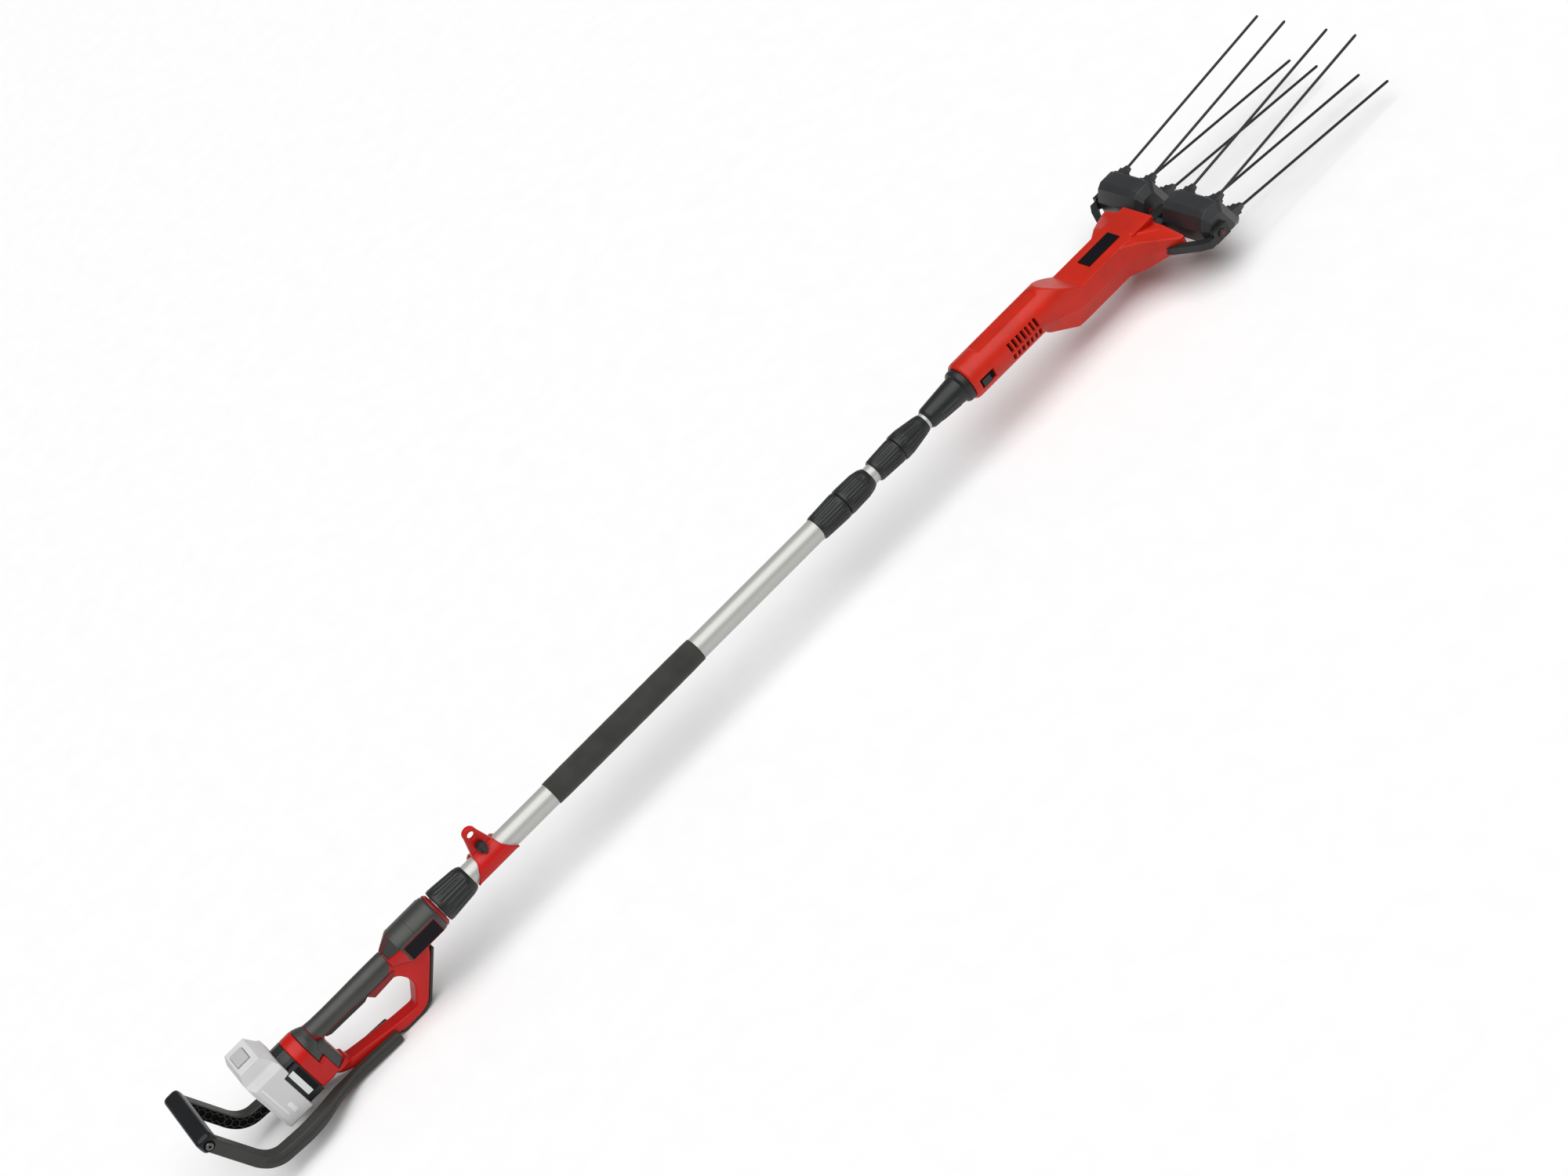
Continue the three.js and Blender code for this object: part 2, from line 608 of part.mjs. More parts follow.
const RAKE_SECTION = [[-17, -12], [-17, 12], [-8, 28], [0, 34], [22, 34], [28, 30], [44, -18], [40, -23],
  [8, -23], [-10, -18]];

// A bar of square section that steps down towards the tine, aimed along the tine.
function socket([baseX, baseZ], y, splay) {
  const along = [Math.cos(splay), Math.sin(splay)];
  const ringAt = (distance, half) => [[-half, -half], [half, -half], [half, half], [-half, half]].map(([u, v]) => [
    PIVOT_X + baseX + along[0] * distance - along[1] * v,
    y + u,
    PIVOT_Z + baseZ + along[1] * distance + along[0] * v,
  ]);
  return loft([ringAt(-30, 8.5), ringAt(-16, 8.5), ringAt(-15.8, 6.5), ringAt(-8, 6.5), ringAt(-7.8, 4.8),
    ringAt(0, 3.4)]);
}

// A round bar between two points, used for the tines and for the holes that hold them.
function tineBar([baseX, baseZ], y, splay, from, to, r) {
  const geometry = new THREE.CylinderGeometry(r, r, to - from, 12);
  geometry.rotateZ(-Math.PI / 2);
  geometry.translate((from + to) / 2, 0, 0);
  geometry.rotateY(-splay);
  geometry.translate(PIVOT_X + baseX, y, PIVOT_Z + baseZ);
  return toSolid(geometry);
}

const ROWS = [[UPPER_BASE, TINE_SPLAY], [LOWER_BASE, -TINE_SPLAY]];

function rakeCarrier(side) {
  const stations = [[RAKE_Y[0], 0.66], [RAKE_Y[0] + 9, 1], [RAKE_Y[1] - 9, 1], [RAKE_Y[1], 0.66]];
  const rings = stations.map(([y, scale]) => RAKE_SECTION.map(([x, z]) =>
    [PIVOT_X + x * scale, side * y, PIVOT_Z + z * scale]));
  const tongue = prismY(outline([[1833, -34], [1833, -26], [1852, -26], [1868, -28], [1868, -44], [1860, -44],
    [1850, -34]]), side > 0 ? 12 : -28, side > 0 ? 28 : -12);
  let solid = loft(rings).add(tongue);
  for (const y of TINE_Y) {
    for (const [base, splay] of ROWS) solid = solid.add(socket(base, side * y, splay));
  }
  for (const y of TINE_Y) {
    for (const [base, splay] of ROWS) {
      solid = solid.subtract(tineBar(base, side * y, splay, -TINE_SEAT - 0.5, 5, TINE_R + GAP));
    }
  }
  solid = solid.subtract(rodY(PIVOT_X, PIVOT_Z, -140, 140, 4.4));
  return part(side > 0 ? 'rake_left' : 'rake_right', solid, charcoal);
}

function tines() {
  const made = [];
  for (const side of [1, -1]) {
    for (const y of TINE_Y) {
      for (const [base, splay] of ROWS) {
        const name = `tine_${side > 0 ? 'left' : 'right'}_${y === TINE_Y[0] ? 'inner' : 'outer'}_`
          + (splay > 0 ? 'upper' : 'lower');
        made.push(part(name, tineBar(base, side * y, splay, -TINE_SEAT, TINE_FREE, TINE_R), black));
      }
    }
  }
  return made;
}

// ---------- the whole tool ----------
const tool = new THREE.Group();
tool.add(
  ...handleShells(), gripRubber(), neckPanel(), barrelRubber(), barrelRing(), loopBumper(),
  batteryDock(), terminalBlock(), ...handleInside(), trigger(), ...handlePlates(),
  guardArm(-1), guardArm(1), guardCrossbar(), guardScrew(-1), guardScrew(1),
  batteryCase(), batteryLatch(), ...poleParts(), strapBracket(), bracketKnob(),
  ...headCoupling(), ...headHousing(), headSwitch(), ...driveParts(),
  yoke(), rockerShaft(), rakeCarrier(1), rakeCarrier(-1), ...tines(),
);
tool.position.set(-TIP_X / 2, 0, FLOOR_DEPTH);

const placed = new THREE.Group();
placed.add(tool);
export default placed;
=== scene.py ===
# %% [markdown]
# # A cordless telescopic fruit harvester
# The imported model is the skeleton: it says where every part is and how it moves. This lesson
# dresses it. Each step looks at one piece of the tool, says what it is on the real machine and
# how its surface can be worked out, and then makes it.

# %% load the frame
import bmesh
import bpy
import math
import numpy as np
from mathutils import Matrix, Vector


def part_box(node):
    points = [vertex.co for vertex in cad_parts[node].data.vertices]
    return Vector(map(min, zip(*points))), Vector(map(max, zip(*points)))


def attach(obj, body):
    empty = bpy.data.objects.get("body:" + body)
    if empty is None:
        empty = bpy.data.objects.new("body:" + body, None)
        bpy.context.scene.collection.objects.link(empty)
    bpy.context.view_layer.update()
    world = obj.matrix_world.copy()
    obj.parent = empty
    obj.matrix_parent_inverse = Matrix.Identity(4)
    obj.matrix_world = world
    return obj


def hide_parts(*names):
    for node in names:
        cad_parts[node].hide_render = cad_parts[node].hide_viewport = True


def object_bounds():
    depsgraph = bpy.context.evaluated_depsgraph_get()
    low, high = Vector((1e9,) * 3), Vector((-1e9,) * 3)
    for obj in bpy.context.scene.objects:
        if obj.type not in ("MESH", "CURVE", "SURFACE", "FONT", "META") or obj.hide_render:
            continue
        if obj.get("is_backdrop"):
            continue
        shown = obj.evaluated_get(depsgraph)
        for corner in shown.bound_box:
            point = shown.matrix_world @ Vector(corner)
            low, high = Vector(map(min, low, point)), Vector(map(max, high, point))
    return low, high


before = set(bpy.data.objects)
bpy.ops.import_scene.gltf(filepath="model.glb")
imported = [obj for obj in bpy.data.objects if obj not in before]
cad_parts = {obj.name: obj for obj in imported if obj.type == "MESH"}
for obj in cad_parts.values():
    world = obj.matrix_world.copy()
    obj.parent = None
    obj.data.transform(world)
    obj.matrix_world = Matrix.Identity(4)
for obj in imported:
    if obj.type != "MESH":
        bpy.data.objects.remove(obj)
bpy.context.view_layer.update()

# %% [markdown]
# The tool was drawn in millimetres along its pole: stations count from the back of the guard bow,
# heights from the pole axis. Two CAD nodes give the shift from those numbers to the frame, so
# every piece below can be written in the drawing's own millimetres.

# %% from drawing millimetres to frame metres
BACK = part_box("guard_crossbar")[0].x
TUBE_LOW, TUBE_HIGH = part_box("outer_tube")
AXIS_Z = (TUBE_LOW.z + TUBE_HIGH.z) / 2
MM = 0.001


def place(points):
    """Drawing millimetres (station, side, height) to frame metres: scale, then shift."""
    moved = np.asarray(points, float) * MM
    return moved + np.array([BACK, 0.0, AXIS_Z])


print("pole axis is", round(AXIS_Z * 1000, 1), "mm above the floor")

# %% [markdown]
# Nearly every surface here is a grid: rows of points run along the piece and columns run round it.
# One function turns such a grid into a mesh, closing the ring, joining the last row to the first,
# or capping the ends. Another rounds the corners of an outline, because no moulded edge is sharp.

# %% grids into meshes
def new_object(name, vertices, faces):
    """A mesh object at the origin, smooth except where faces meet at more than 38 degrees."""
    mesh = bpy.data.meshes.new(name)
    mesh.from_pydata(vertices, [], faces)
    mesh.update()
    piece = bpy.data.objects.new(name, mesh)
    bpy.context.scene.collection.objects.link(piece)
    soften(piece)
    return piece


def soften(piece, degrees=38):
    """Smooth shading with sharp edges above an angle."""
    mesh = piece.data
    mesh.polygons.foreach_set("use_smooth", np.ones(len(mesh.polygons), bool))
    mesh.set_sharp_from_angle(angle=math.radians(degrees))


def grid_faces(rows, columns, loop_rows):
    """Quads between neighbouring rows and columns; columns always close on themselves."""
    last = rows if loop_rows else rows - 1
    row, column = np.meshgrid(np.arange(last), np.arange(columns), indexing="ij")
    down, right = (row + 1) % rows, (column + 1) % columns
    quad = [row * columns + column, row * columns + right, down * columns + right, down * columns + column]
    return np.stack(quad, -1).reshape(-1, 4)


def closed_mesh(name, points, rows, columns, loop_rows=False):
    """Grid points in metres become a closed mesh; where the rows don't loop, the ends are capped."""
    faces = grid_faces(rows, columns, loop_rows).tolist()
    if not loop_rows:
        faces.append(list(range(columns))[::-1])
        faces.append([(rows - 1) * columns + k for k in range(columns)])
    piece = new_object(name, points.reshape(-1, 3).tolist(), faces)
    face_out(piece)
    return piece


def from_grid(name, grid, loop_rows=False):
    """A closed mesh from grid[row, column, xyz] in drawing millimetres."""
    return closed_mesh(name, place(grid), *grid.shape[:2], loop_rows)


def face_out(piece):
    """Turns every face outward, by asking the mesh which way its closed skin points."""
    work = bmesh.new()
    work.from_mesh(piece.data)
    bmesh.ops.recalc_face_normals(work, faces=work.faces)
    work.to_mesh(piece.data)
    work.free()
    soften(piece)


def rounded(points, radius, closed=True, steps=5):
    """Replaces each corner by a parabola that starts and ends radius away from it, or less."""
    points = np.asarray(points, float)
    before, after = np.roll(points, 1, 0), np.roll(points, -1, 0)
    back, ahead = before - points, after - points
    back_long = np.linalg.norm(back, axis=1, keepdims=True)
    ahead_long = np.linalg.norm(ahead, axis=1, keepdims=True)
    reach = np.minimum(radius, 0.45 * np.minimum(back_long, ahead_long))
    start, end = points + back / back_long * reach, points + ahead / ahead_long * reach
    share = np.linspace(0, 1, steps)[:, None, None]
    curve = (1 - share) ** 2 * start + 2 * share * (1 - share) * points + share ** 2 * end
    curve = curve.transpose(1, 0, 2)
    if not closed:
        curve[0], curve[-1] = points[0], points[-1]
    return curve.reshape(-1, points.shape[1])


def unit(vectors):
    """Each vector divided by its own length."""
    return vectors / np.linalg.norm(vectors, axis=1, keepdims=True)


def travelled(path):
    """The length of the path up to each of its points."""
    return np.concatenate([[0], np.cumsum(np.linalg.norm(np.diff(path, axis=0), axis=1))])


def denser(path, step):
    """The same path with points no further apart than step."""
    path = np.asarray(path, float)
    travel = travelled(path)
    keep = np.unique(np.concatenate([travel, np.arange(0, travel[-1], step)]))
    return np.stack([np.interp(keep, travel, path[:, k]) for k in range(path.shape[1])], -1)


# %% [markdown]
# Tubes, nuts and rings are turned parts: a profile of station and radius, spun round the pole.
# Grip flutes are cut by taking a little off the radius at some angles and only over part of the
# length, which is what a mould does with a row of long oval pockets.

# %% turned pieces
def turned(name, profile, round_mm=0.6, sides=96, flutes=None, step=40.0):
    """Radius is read along a rounded, closed profile and spun round X; flutes lowers it."""
    path = rounded(profile, round_mm)
    path = denser(np.vstack([path, path[:1]]), step)[:-1]
    angle = np.linspace(0, 2 * np.pi, sides, endpoint=False)
    station, radius = path[:, :1], path[:, 1:2]
    cut = flutes(station, angle[None, :], radius) if flutes else 0.0
    reach = radius - cut
    grid = np.stack([station + 0 * angle, reach * np.cos(angle), reach * np.sin(angle)], -1)
    return from_grid(name, grid, loop_rows=True)


def oval_flutes(start, end, count, depth, width=0.5, bore=18.5):
    """Depth times a cosine bump in each of count sectors, fading out at both ends of the band."""
    def cut(station, angle, radius):
        middle, half = (start + end) / 2, (end - start) / 2
        along = np.clip(1 - ((station - middle) / half) ** 4, 0, 1)
        phase = (angle * count / (2 * np.pi)) % 1 - 0.5
        across = np.clip(1 - (phase / (width / 2)) ** 2, 0, 1)
        return depth * np.sqrt(along) * across * (radius > bore)
    return cut


# %% [markdown]
# A sharp CAD part becomes a moulded one by rounding its edges. The copy is merged, flat triangles
# are joined into whole faces, and a Bevel rolls over every edge that turns by more than 14 degrees.

# %% rounded copies of CAD parts
ROLL_SEGMENTS = 3
ROLL_FROM = math.radians(14)


def moulded(node, edge_mm):
    """A merged copy of a CAD node, its coplanar faces joined, with rolled edges."""
    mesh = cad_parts[node].data.copy()
    piece = bpy.data.objects.new(node + "_skin", mesh)
    bpy.context.scene.collection.objects.link(piece)
    work = bmesh.new()
    work.from_mesh(mesh)
    bmesh.ops.remove_doubles(work, verts=work.verts, dist=1e-5)
    bmesh.ops.dissolve_limit(work, angle_limit=math.radians(1.5), verts=work.verts, edges=work.edges)
    bmesh.ops.recalc_face_normals(work, faces=work.faces)
    work.to_mesh(mesh)
    work.free()
    mesh.materials.clear()
    roll = piece.modifiers.new("rolled_edges", "BEVEL")
    roll.width, roll.segments, roll.limit_method = edge_mm * MM, ROLL_SEGMENTS, "ANGLE"
    roll.angle_limit = ROLL_FROM
    roll.harden_normals = False
    bake_modifiers(piece)
    panels_flat(piece, edge_mm * 4)
    return piece


def panels_flat(piece, area_mm2):
    """Shades large faces flat and the narrow strips of a rolled edge smooth."""
    faces = piece.data.polygons
    area = np.zeros(len(faces))
    faces.foreach_get("area", area)
    soften(piece, 32)
    faces.foreach_set("use_smooth", area < area_mm2 * MM * MM)


def bake_modifiers(piece):
    """Replaces the mesh by what its modifiers make of it."""
    graph = bpy.context.evaluated_depsgraph_get()
    baked = bpy.data.meshes.new_from_object(piece.evaluated_get(graph))
    piece.modifiers.clear()
    piece.data = baked


# %% [markdown]
# Materials come next. Moulded plastic has a fine spark-eroded grain, faint flow marks in its colour
# and a gloss that wanders; soft-touch rubber is the same with a coarser grain; the pole is satin
# anodised aluminium with drawing lines along its length. An image could carry this, but noise on
# Object coordinates, which are the frame's own metres, keeps its scale on every piece.

# %% material helpers
def blank_material(name):
    """A new material with its node tree and shader."""
    material = bpy.data.materials.new(name)
    material.use_nodes = True
    tree = material.node_tree
    return material, tree, tree.nodes["Principled BSDF"]


def noise(tree, scale, detail=3.0, stretch=None):
    """Noise on Object coordinates, stretched along an axis where three factors are given."""
    where = tree.nodes.new("ShaderNodeTexCoord")
    texture = tree.nodes.new("ShaderNodeTexNoise")
    texture.inputs["Scale"].default_value = scale
    texture.inputs["Detail"].default_value = detail
    source = where.outputs["Object"]
    if stretch:
        mapping = tree.nodes.new("ShaderNodeMapping")
        mapping.inputs["Scale"].default_value = stretch
        tree.links.new(source, mapping.inputs["Vector"])
        source = mapping.outputs["Vector"]
    tree.links.new(source, texture.inputs["Vector"])
    return texture.outputs["Fac"]


def ramp(tree, value, low, high):
    """A two-colour ramp read by value."""
    node = tree.nodes.new("ShaderNodeValToRGB")
    node.color_ramp.elements[0].color = (*low, 1)
    node.color_ramp.elements[1].color = (*high, 1)
    node.color_ramp.elements[0].position = 0.3
    node.color_ramp.elements[1].position = 0.7
    tree.links.new(value, node.inputs["Fac"])
    return node.outputs["Color"]


def span(tree, value, low, high):
    """Maps 0 to 1 onto low to high."""
    node = tree.nodes.new("ShaderNodeMapRange")
    node.inputs["To Min"].default_value = low
    node.inputs["To Max"].default_value = high
    tree.links.new(value, node.inputs["Value"])
    return node.outputs["Result"]


def bump(tree, shader, value, strength, depth_mm):
    """Raises the surface by value; the bump's depth is in millimetres."""
    node = tree.nodes.new("ShaderNodeBump")
    node.inputs["Strength"].default_value = strength
    node.inputs["Distance"].default_value = depth_mm * MM
    tree.links.new(value, node.inputs["Height"])
    tree.links.new(node.outputs["Normal"], shader.inputs["Normal"])


def moulded_plastic(name, colour, roughness, grain=1400, depth=0.05, spread=0.12, level=0.35):
    """Fine grain in the bump, slow colour drift, and roughness that wanders a little."""
    material, tree, shader = blank_material(name)
    dark = tuple(c * (1 - spread) for c in colour)
    light = tuple(min(1.0, c * (1 + spread)) for c in colour)
    tree.links.new(ramp(tree, noise(tree, 22), dark, light), shader.inputs["Base Color"])
    rough = span(tree, noise(tree, 60, 5), roughness - 0.06, roughness + 0.06)
    tree.links.new(rough, shader.inputs["Roughness"])
    bump(tree, shader, noise(tree, grain, 2), 0.35, depth)
    shader.inputs["Specular IOR Level"].default_value = level
    return material


def drawn_metal(name, colour, roughness, metallic):
    """Long thin noise along the pole for drawing lines, on a satin metal."""
    material, tree, shader = blank_material(name)
    lines = noise(tree, 40, 6, stretch=(0.6, 30, 30))
    dark = tuple(c * 0.93 for c in colour)
    tree.links.new(ramp(tree, lines, dark, colour), shader.inputs["Base Color"])
    tree.links.new(span(tree, lines, roughness - 0.06, roughness + 0.08), shader.inputs["Roughness"])
    shader.inputs["Metallic"].default_value = metallic
    bump(tree, shader, lines, 0.15, 0.03)
    return material


def foam_material(name):
    """Closed-cell foam: tiny cells in the bump and a soft sheen."""
    material, tree, shader = blank_material(name)
    where = tree.nodes.new("ShaderNodeTexCoord")
    cells = tree.nodes.new("ShaderNodeTexVoronoi")
    cells.inputs["Scale"].default_value = 1100
    tree.links.new(where.outputs["Object"], cells.inputs["Vector"])
    tint = ramp(tree, noise(tree, 30, 4), (0.022, 0.023, 0.021), (0.036, 0.037, 0.034))
    tree.links.new(tint, shader.inputs["Base Color"])
    shader.inputs["Roughness"].default_value = 0.9
    shader.inputs["Sheen Weight"].default_value = 0.12
    bump(tree, shader, cells.outputs["Distance"], 0.5, 0.25)
    return material


# %% [markdown]
# Each finish is a name, a colour and a roughness, with a grain or a gloss level of its own where it
# differs from the rest.

# %% the finishes
HANDLE_RED = moulded_plastic("handle_red", (0.50, 0.006, 0.004), 0.36, level=0.28)
HEAD_RED = moulded_plastic("head_red", (0.53, 0.017, 0.005), 0.36, level=0.26)
DEEP_RED = moulded_plastic("deep_red", (0.22, 0.006, 0.006), 0.42)
RUBBER = moulded_plastic("soft_rubber", (0.036, 0.038, 0.034), 0.44, grain=900, depth=0.10, level=0.5)
BLACK = moulded_plastic("black_plastic", (0.014, 0.015, 0.015), 0.38, grain=1000, depth=0.05)
BLUE_BLACK = moulded_plastic("blue_black", (0.009, 0.010, 0.012), 0.36, depth=0.03, level=0.25)
CHARCOAL = moulded_plastic("charcoal_plastic", (0.034, 0.034, 0.030), 0.50, grain=800, depth=0.12)
RAKE_GREY = moulded_plastic("rake_grey", (0.024, 0.025, 0.027), 0.34, grain=800, depth=0.05, level=0.5)
# Near-black painted shade for the honeycomb cells, the head's slots and mouth, and the screw pockets.
PAINTED_RECESS_SHADE = moulded_plastic("painted_recess_shade", (0.004, 0.004, 0.004), 0.75, level=0.1)
PLATE = moulded_plastic("plate_gloss", (0.004, 0.004, 0.007), 0.30, depth=0.01, level=0.12)
PALE_PACK = moulded_plastic("pale_pack", (0.65, 0.65, 0.65), 0.42, grain=900, depth=0.05, spread=0.04)
PACK_LIGHT = moulded_plastic("pack_light", (0.80, 0.81, 0.81), 0.40, spread=0.03)
PACK_DARK = moulded_plastic("pack_shade", (0.48, 0.48, 0.48), 0.5, spread=0.04)
SILVER = drawn_metal("satin_tube", (0.50, 0.50, 0.48), 0.34, 0.30)
STEEL = drawn_metal("screw_steel", (0.12, 0.12, 0.12), 0.32, 1.0)
MOTOR_CAN = drawn_metal("motor_can", (0.34, 0.33, 0.31), 0.4, 1.0)
BOARD = moulded_plastic("green_board", (0.02, 0.13, 0.06), 0.4)
TINE_BLACK = moulded_plastic("tine_rod", (0.012, 0.012, 0.013), 0.35, depth=0.02)
FOAM = foam_material("foam")
print("materials:", len(bpy.data.materials))


# %% [markdown]
# Every finished piece is handed over in the same way: it gets its material, rides on its body,
# and stands for the CAD nodes it covers.

# %% handing a piece over
def hand_over(piece, material, body, slot, covers=()):
    """Material, body and the covered CAD nodes, in one call; slot is not used."""
    piece.data.materials.clear()
    for one in material if isinstance(material, (list, tuple)) else [material]:
        piece.data.materials.append(one)
    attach(piece, body)
    if covers:
        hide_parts(*covers)
    print(piece.name, len(piece.data.polygons), "faces on", body)
    return piece


# %% [markdown]
# ## The pole
# The outer pole is a drawn aluminium tube with two shallow grooves that stop the inner tube from
# turning. It is a turned piece whose radius dips by half a millimetre at two angles.

# %% tubes
def key_grooves(depth, half_width):
    """Two shallow grooves at opposite sides, along the whole tube."""
    def cut(station, angle, radius):
        turn = (angle - math.radians(205)) % np.pi
        near = np.minimum(turn, np.pi - turn)
        return depth * np.clip(1 - (near / half_width) ** 2, 0, 1) + 0 * station
    return cut


outer_tube = turned("pole_outer_tube", [[401, 15.2], [401, 17.5], [1243, 17.5], [1243, 15.2]],
                    0.5, 96, key_grooves(0.7, 0.22))
hand_over(outer_tube, SILVER, "handle", "silver_tube", ["outer_tube"])
inner_tube = turned("pole_inner_tube", [[560, 12.3], [560, 14.3], [1392, 14.3], [1392, 12.3]],
                    0.5, 96, key_grooves(0.5, 0.22))
hand_over(inner_tube, SILVER, "front_pole", "silver_tube", ["inner_tube"])

# %% [markdown]
# The middle grip is a sleeve of closed-cell foam, pushed over the tube. It is stretched a little
# tighter at its two cut ends, so its radius swells slowly towards the middle.

# %% foam sleeve
FOAM_X = (668, 953)


def foam_swell(station, angle, radius):
    """The outer skin sinks half a millimetre at the ends and ripples very slightly."""
    half = (FOAM_X[1] - FOAM_X[0]) / 2
    share = np.abs(station - sum(FOAM_X) / 2) / half
    ripple = 0.08 * np.sin(station * 0.21 + 2 * np.sin(angle))
    return (0.6 * share ** 6 + ripple) * (radius > 18.3)


foam_profile = [[FOAM_X[0], 17.8], [FOAM_X[0], 19.2], [FOAM_X[1], 19.2], [FOAM_X[1], 17.8]]
foam = turned("foam_grip", foam_profile, 0.9, 96, foam_swell, 6.0)
hand_over(foam, FOAM, "handle", "foam", ["foam_sleeve"])

# %% [markdown]
# Nuts, rings and the twist clamp are black plastic with long oval flutes for the fingers.

# %% fluted nuts and rings
# Name, profile, corner, flutes, body and the CAD node it covers.
RINGS = [
    ("pole_nut", [[449, 24.2], [450, 26.0], [454, 26.5], [497, 23.0], [504, 21.4], [508, 18.9],
                  [508, 17.8], [449, 17.8]],
     1.4, (456, 500, 22, 1.1, 0.55, 19.5), "coupling_nut", "coupling_nut"),
    ("clamp_lower_ring", [[1193, 18.4], [1196, 19.7], [1238, 21.6], [1243, 21.3], [1243, 17.8],
                          [1193, 17.8]],
     1.0, (1197, 1240, 24, 0.9, 0.55), "handle", "clamp_body"),
    ("clamp_twist_ring", [[1245, 21.3], [1250, 21.8], [1280, 20.9], [1292, 18.6], [1298, 15.8],
                          [1298, 14.7], [1291, 14.7], [1291, 17.35], [1245, 17.35]],
     1.0, (1250, 1288, 24, 0.9, 0.55), "clamp_collar", "clamp_collar"),
    ("head_twist_ring", [[1309, 16.5], [1312, 17.9], [1350, 19.9], [1355, 19.6], [1355, 14.6],
                         [1309, 14.6]],
     0.9, (1314, 1352, 24, 0.8, 0.55, 16), "head_ring", "head_ring"),
    ("head_cone_skin", [[1355.4, 20.3], [1358, 21.2], [1372, 20.6], [1402, 15.8], [1409, 14.2], [1409, 10],
                        [1393, 10], [1393, 14.6], [1355.4, 14.6]],
     1.0, (1361, 1400, 24, 0.8, 0.5, 15), "front_pole", "head_cone"),
]
for name, profile, corner, flutes, body, node in RINGS:
    fluted = turned(name, profile, corner, 192, oval_flutes(*flutes), 1.5)
    hand_over(fluted, BLACK, body, "black_plastic", [node])
band = turned("neck_band_skin", [[1409.4, 10], [1409.4, 13.4], [1414, 13.4], [1414, 10]], 0.4)
hand_over(band, SILVER, "front_pole", "silver_tube", ["neck_band"])

# %% [markdown]
# The neck carries a raised U-shaped line, the mark that shows where the sleeve ends. It is a ridge
# on the radius: a band of angles bounded by two straight lines and one closing line.

# %% head neck
def neck_mark(station, angle, radius):
    """A ridge 0.7 mm high along a U drawn on the unrolled cone, on the side facing -Y."""
    turn = np.degrees((angle - np.pi * 1.10 + np.pi) % (2 * np.pi) - np.pi)
    along = (station > 1433) & (station < 1466)
    rails = along & (np.abs(np.abs(turn) - 24) < 3.0)
    end = (np.abs(station - 1433) < 1.2) & (np.abs(turn) < 26)
    return -0.7 * (rails | end) * (radius > 15)


neck = turned("head_neck_skin", [[1414.4, 14.2], [1419, 16.8], [1478, 21.4], [1480, 25.2], [1483, 26.6],
              [1489.8, 26.6], [1489.8, 10], [1414.4, 10]], 1.0, 192, neck_mark, 1.0)
hand_over(neck, BLACK, "front_pole", "black_plastic", ["head_neck"])


# %% [markdown]
# ## The handle shell
# The red shell is one organic form: battery block, hand loop and barrel cheeks run into each other
# with soft fillets. It is easiest to make the simple closed solids, let them overlap, and melt them
# together with a voxel remesh. A few smoothing passes then give the fillets a moulded part has.

# %% melting solids together
def melted(name, solids, voxel_mm, passes):
    """Joins overlapping closed meshes, remeshes them as one skin and smooths it."""
    bpy.ops.object.select_all(action="DESELECT")
    for one in solids:
        one.select_set(True)
    bpy.context.view_layer.objects.active = solids[0]
    if len(solids) > 1:
        bpy.ops.object.join()
    piece = solids[0]
    piece.name = name
    remesh = piece.modifiers.new("melt", "REMESH")
    remesh.mode, remesh.voxel_size = "VOXEL", voxel_mm * MM
    smooth = piece.modifiers.new("fillet", "SMOOTH")
    smooth.factor, smooth.iterations = 0.5, passes
    bake_modifiers(piece)
    soften(piece, 60)
    return piece


def arch_ring(station, half, top, bottom, spring, corner=7):
    """Straight sides under a half-ellipse, as points round one section."""
    angle = np.linspace(0, np.pi, 25)
    height = spring + (top - spring) * np.sin(angle)
    crown = np.stack([0 * angle + station, half * np.cos(angle), height], -1)
    foot = [[station, -half, bottom + corner], [station, -half + corner, bottom],
            [station, half - corner, bottom], [station, half, bottom + corner]]
    return np.vstack([crown, foot])


def even(path, count):
    """The closed path read at count places, evenly spaced along it."""
    path = np.vstack([path, path[:1]])
    travel = travelled(path)
    keep = np.linspace(0, travel[-1], count, endpoint=False)
    return np.stack([np.interp(keep, travel, path[:, k]) for k in range(path.shape[1])], -1)


def prism(name, outline, y_low, y_high, edge, corner=1.5, count=160):
    """An X-Z outline carried along Y; near both ends it draws in along a quarter circle."""
    path = even(rounded(outline, corner), count)
    run = np.roll(path, -1, 0) - np.roll(path, 1, 0)
    area = np.sum(path[:, 0] * np.roll(path[:, 1], -1) - np.roll(path[:, 0], -1) * path[:, 1])
    outward = unit(np.stack([run[:, 1], -run[:, 0]], -1)) * np.sign(area)
    turn = np.linspace(0, np.pi / 2, 5)
    draw = edge * (1 - np.sin(turn))
    along = np.concatenate([y_low + edge * (1 - np.cos(turn)), y_high - edge * (1 - np.cos(turn[::-1]))])
    inset = np.concatenate([draw, draw[::-1]])
    flat = path[None] - outward[None] * inset[:, None, None]
    grid = np.stack([flat[..., 0], np.tile(along[:, None], (1, count)), flat[..., 1]], -1)
    return from_grid(name, grid)


def squared(turn, power):
    """Across and upward round a circle that is pushed towards a square as power falls below 1."""
    return (np.sign(np.cos(turn)) * np.abs(np.cos(turn)) ** power,
            np.sign(np.sin(turn)) * np.abs(np.sin(turn)) ** power)


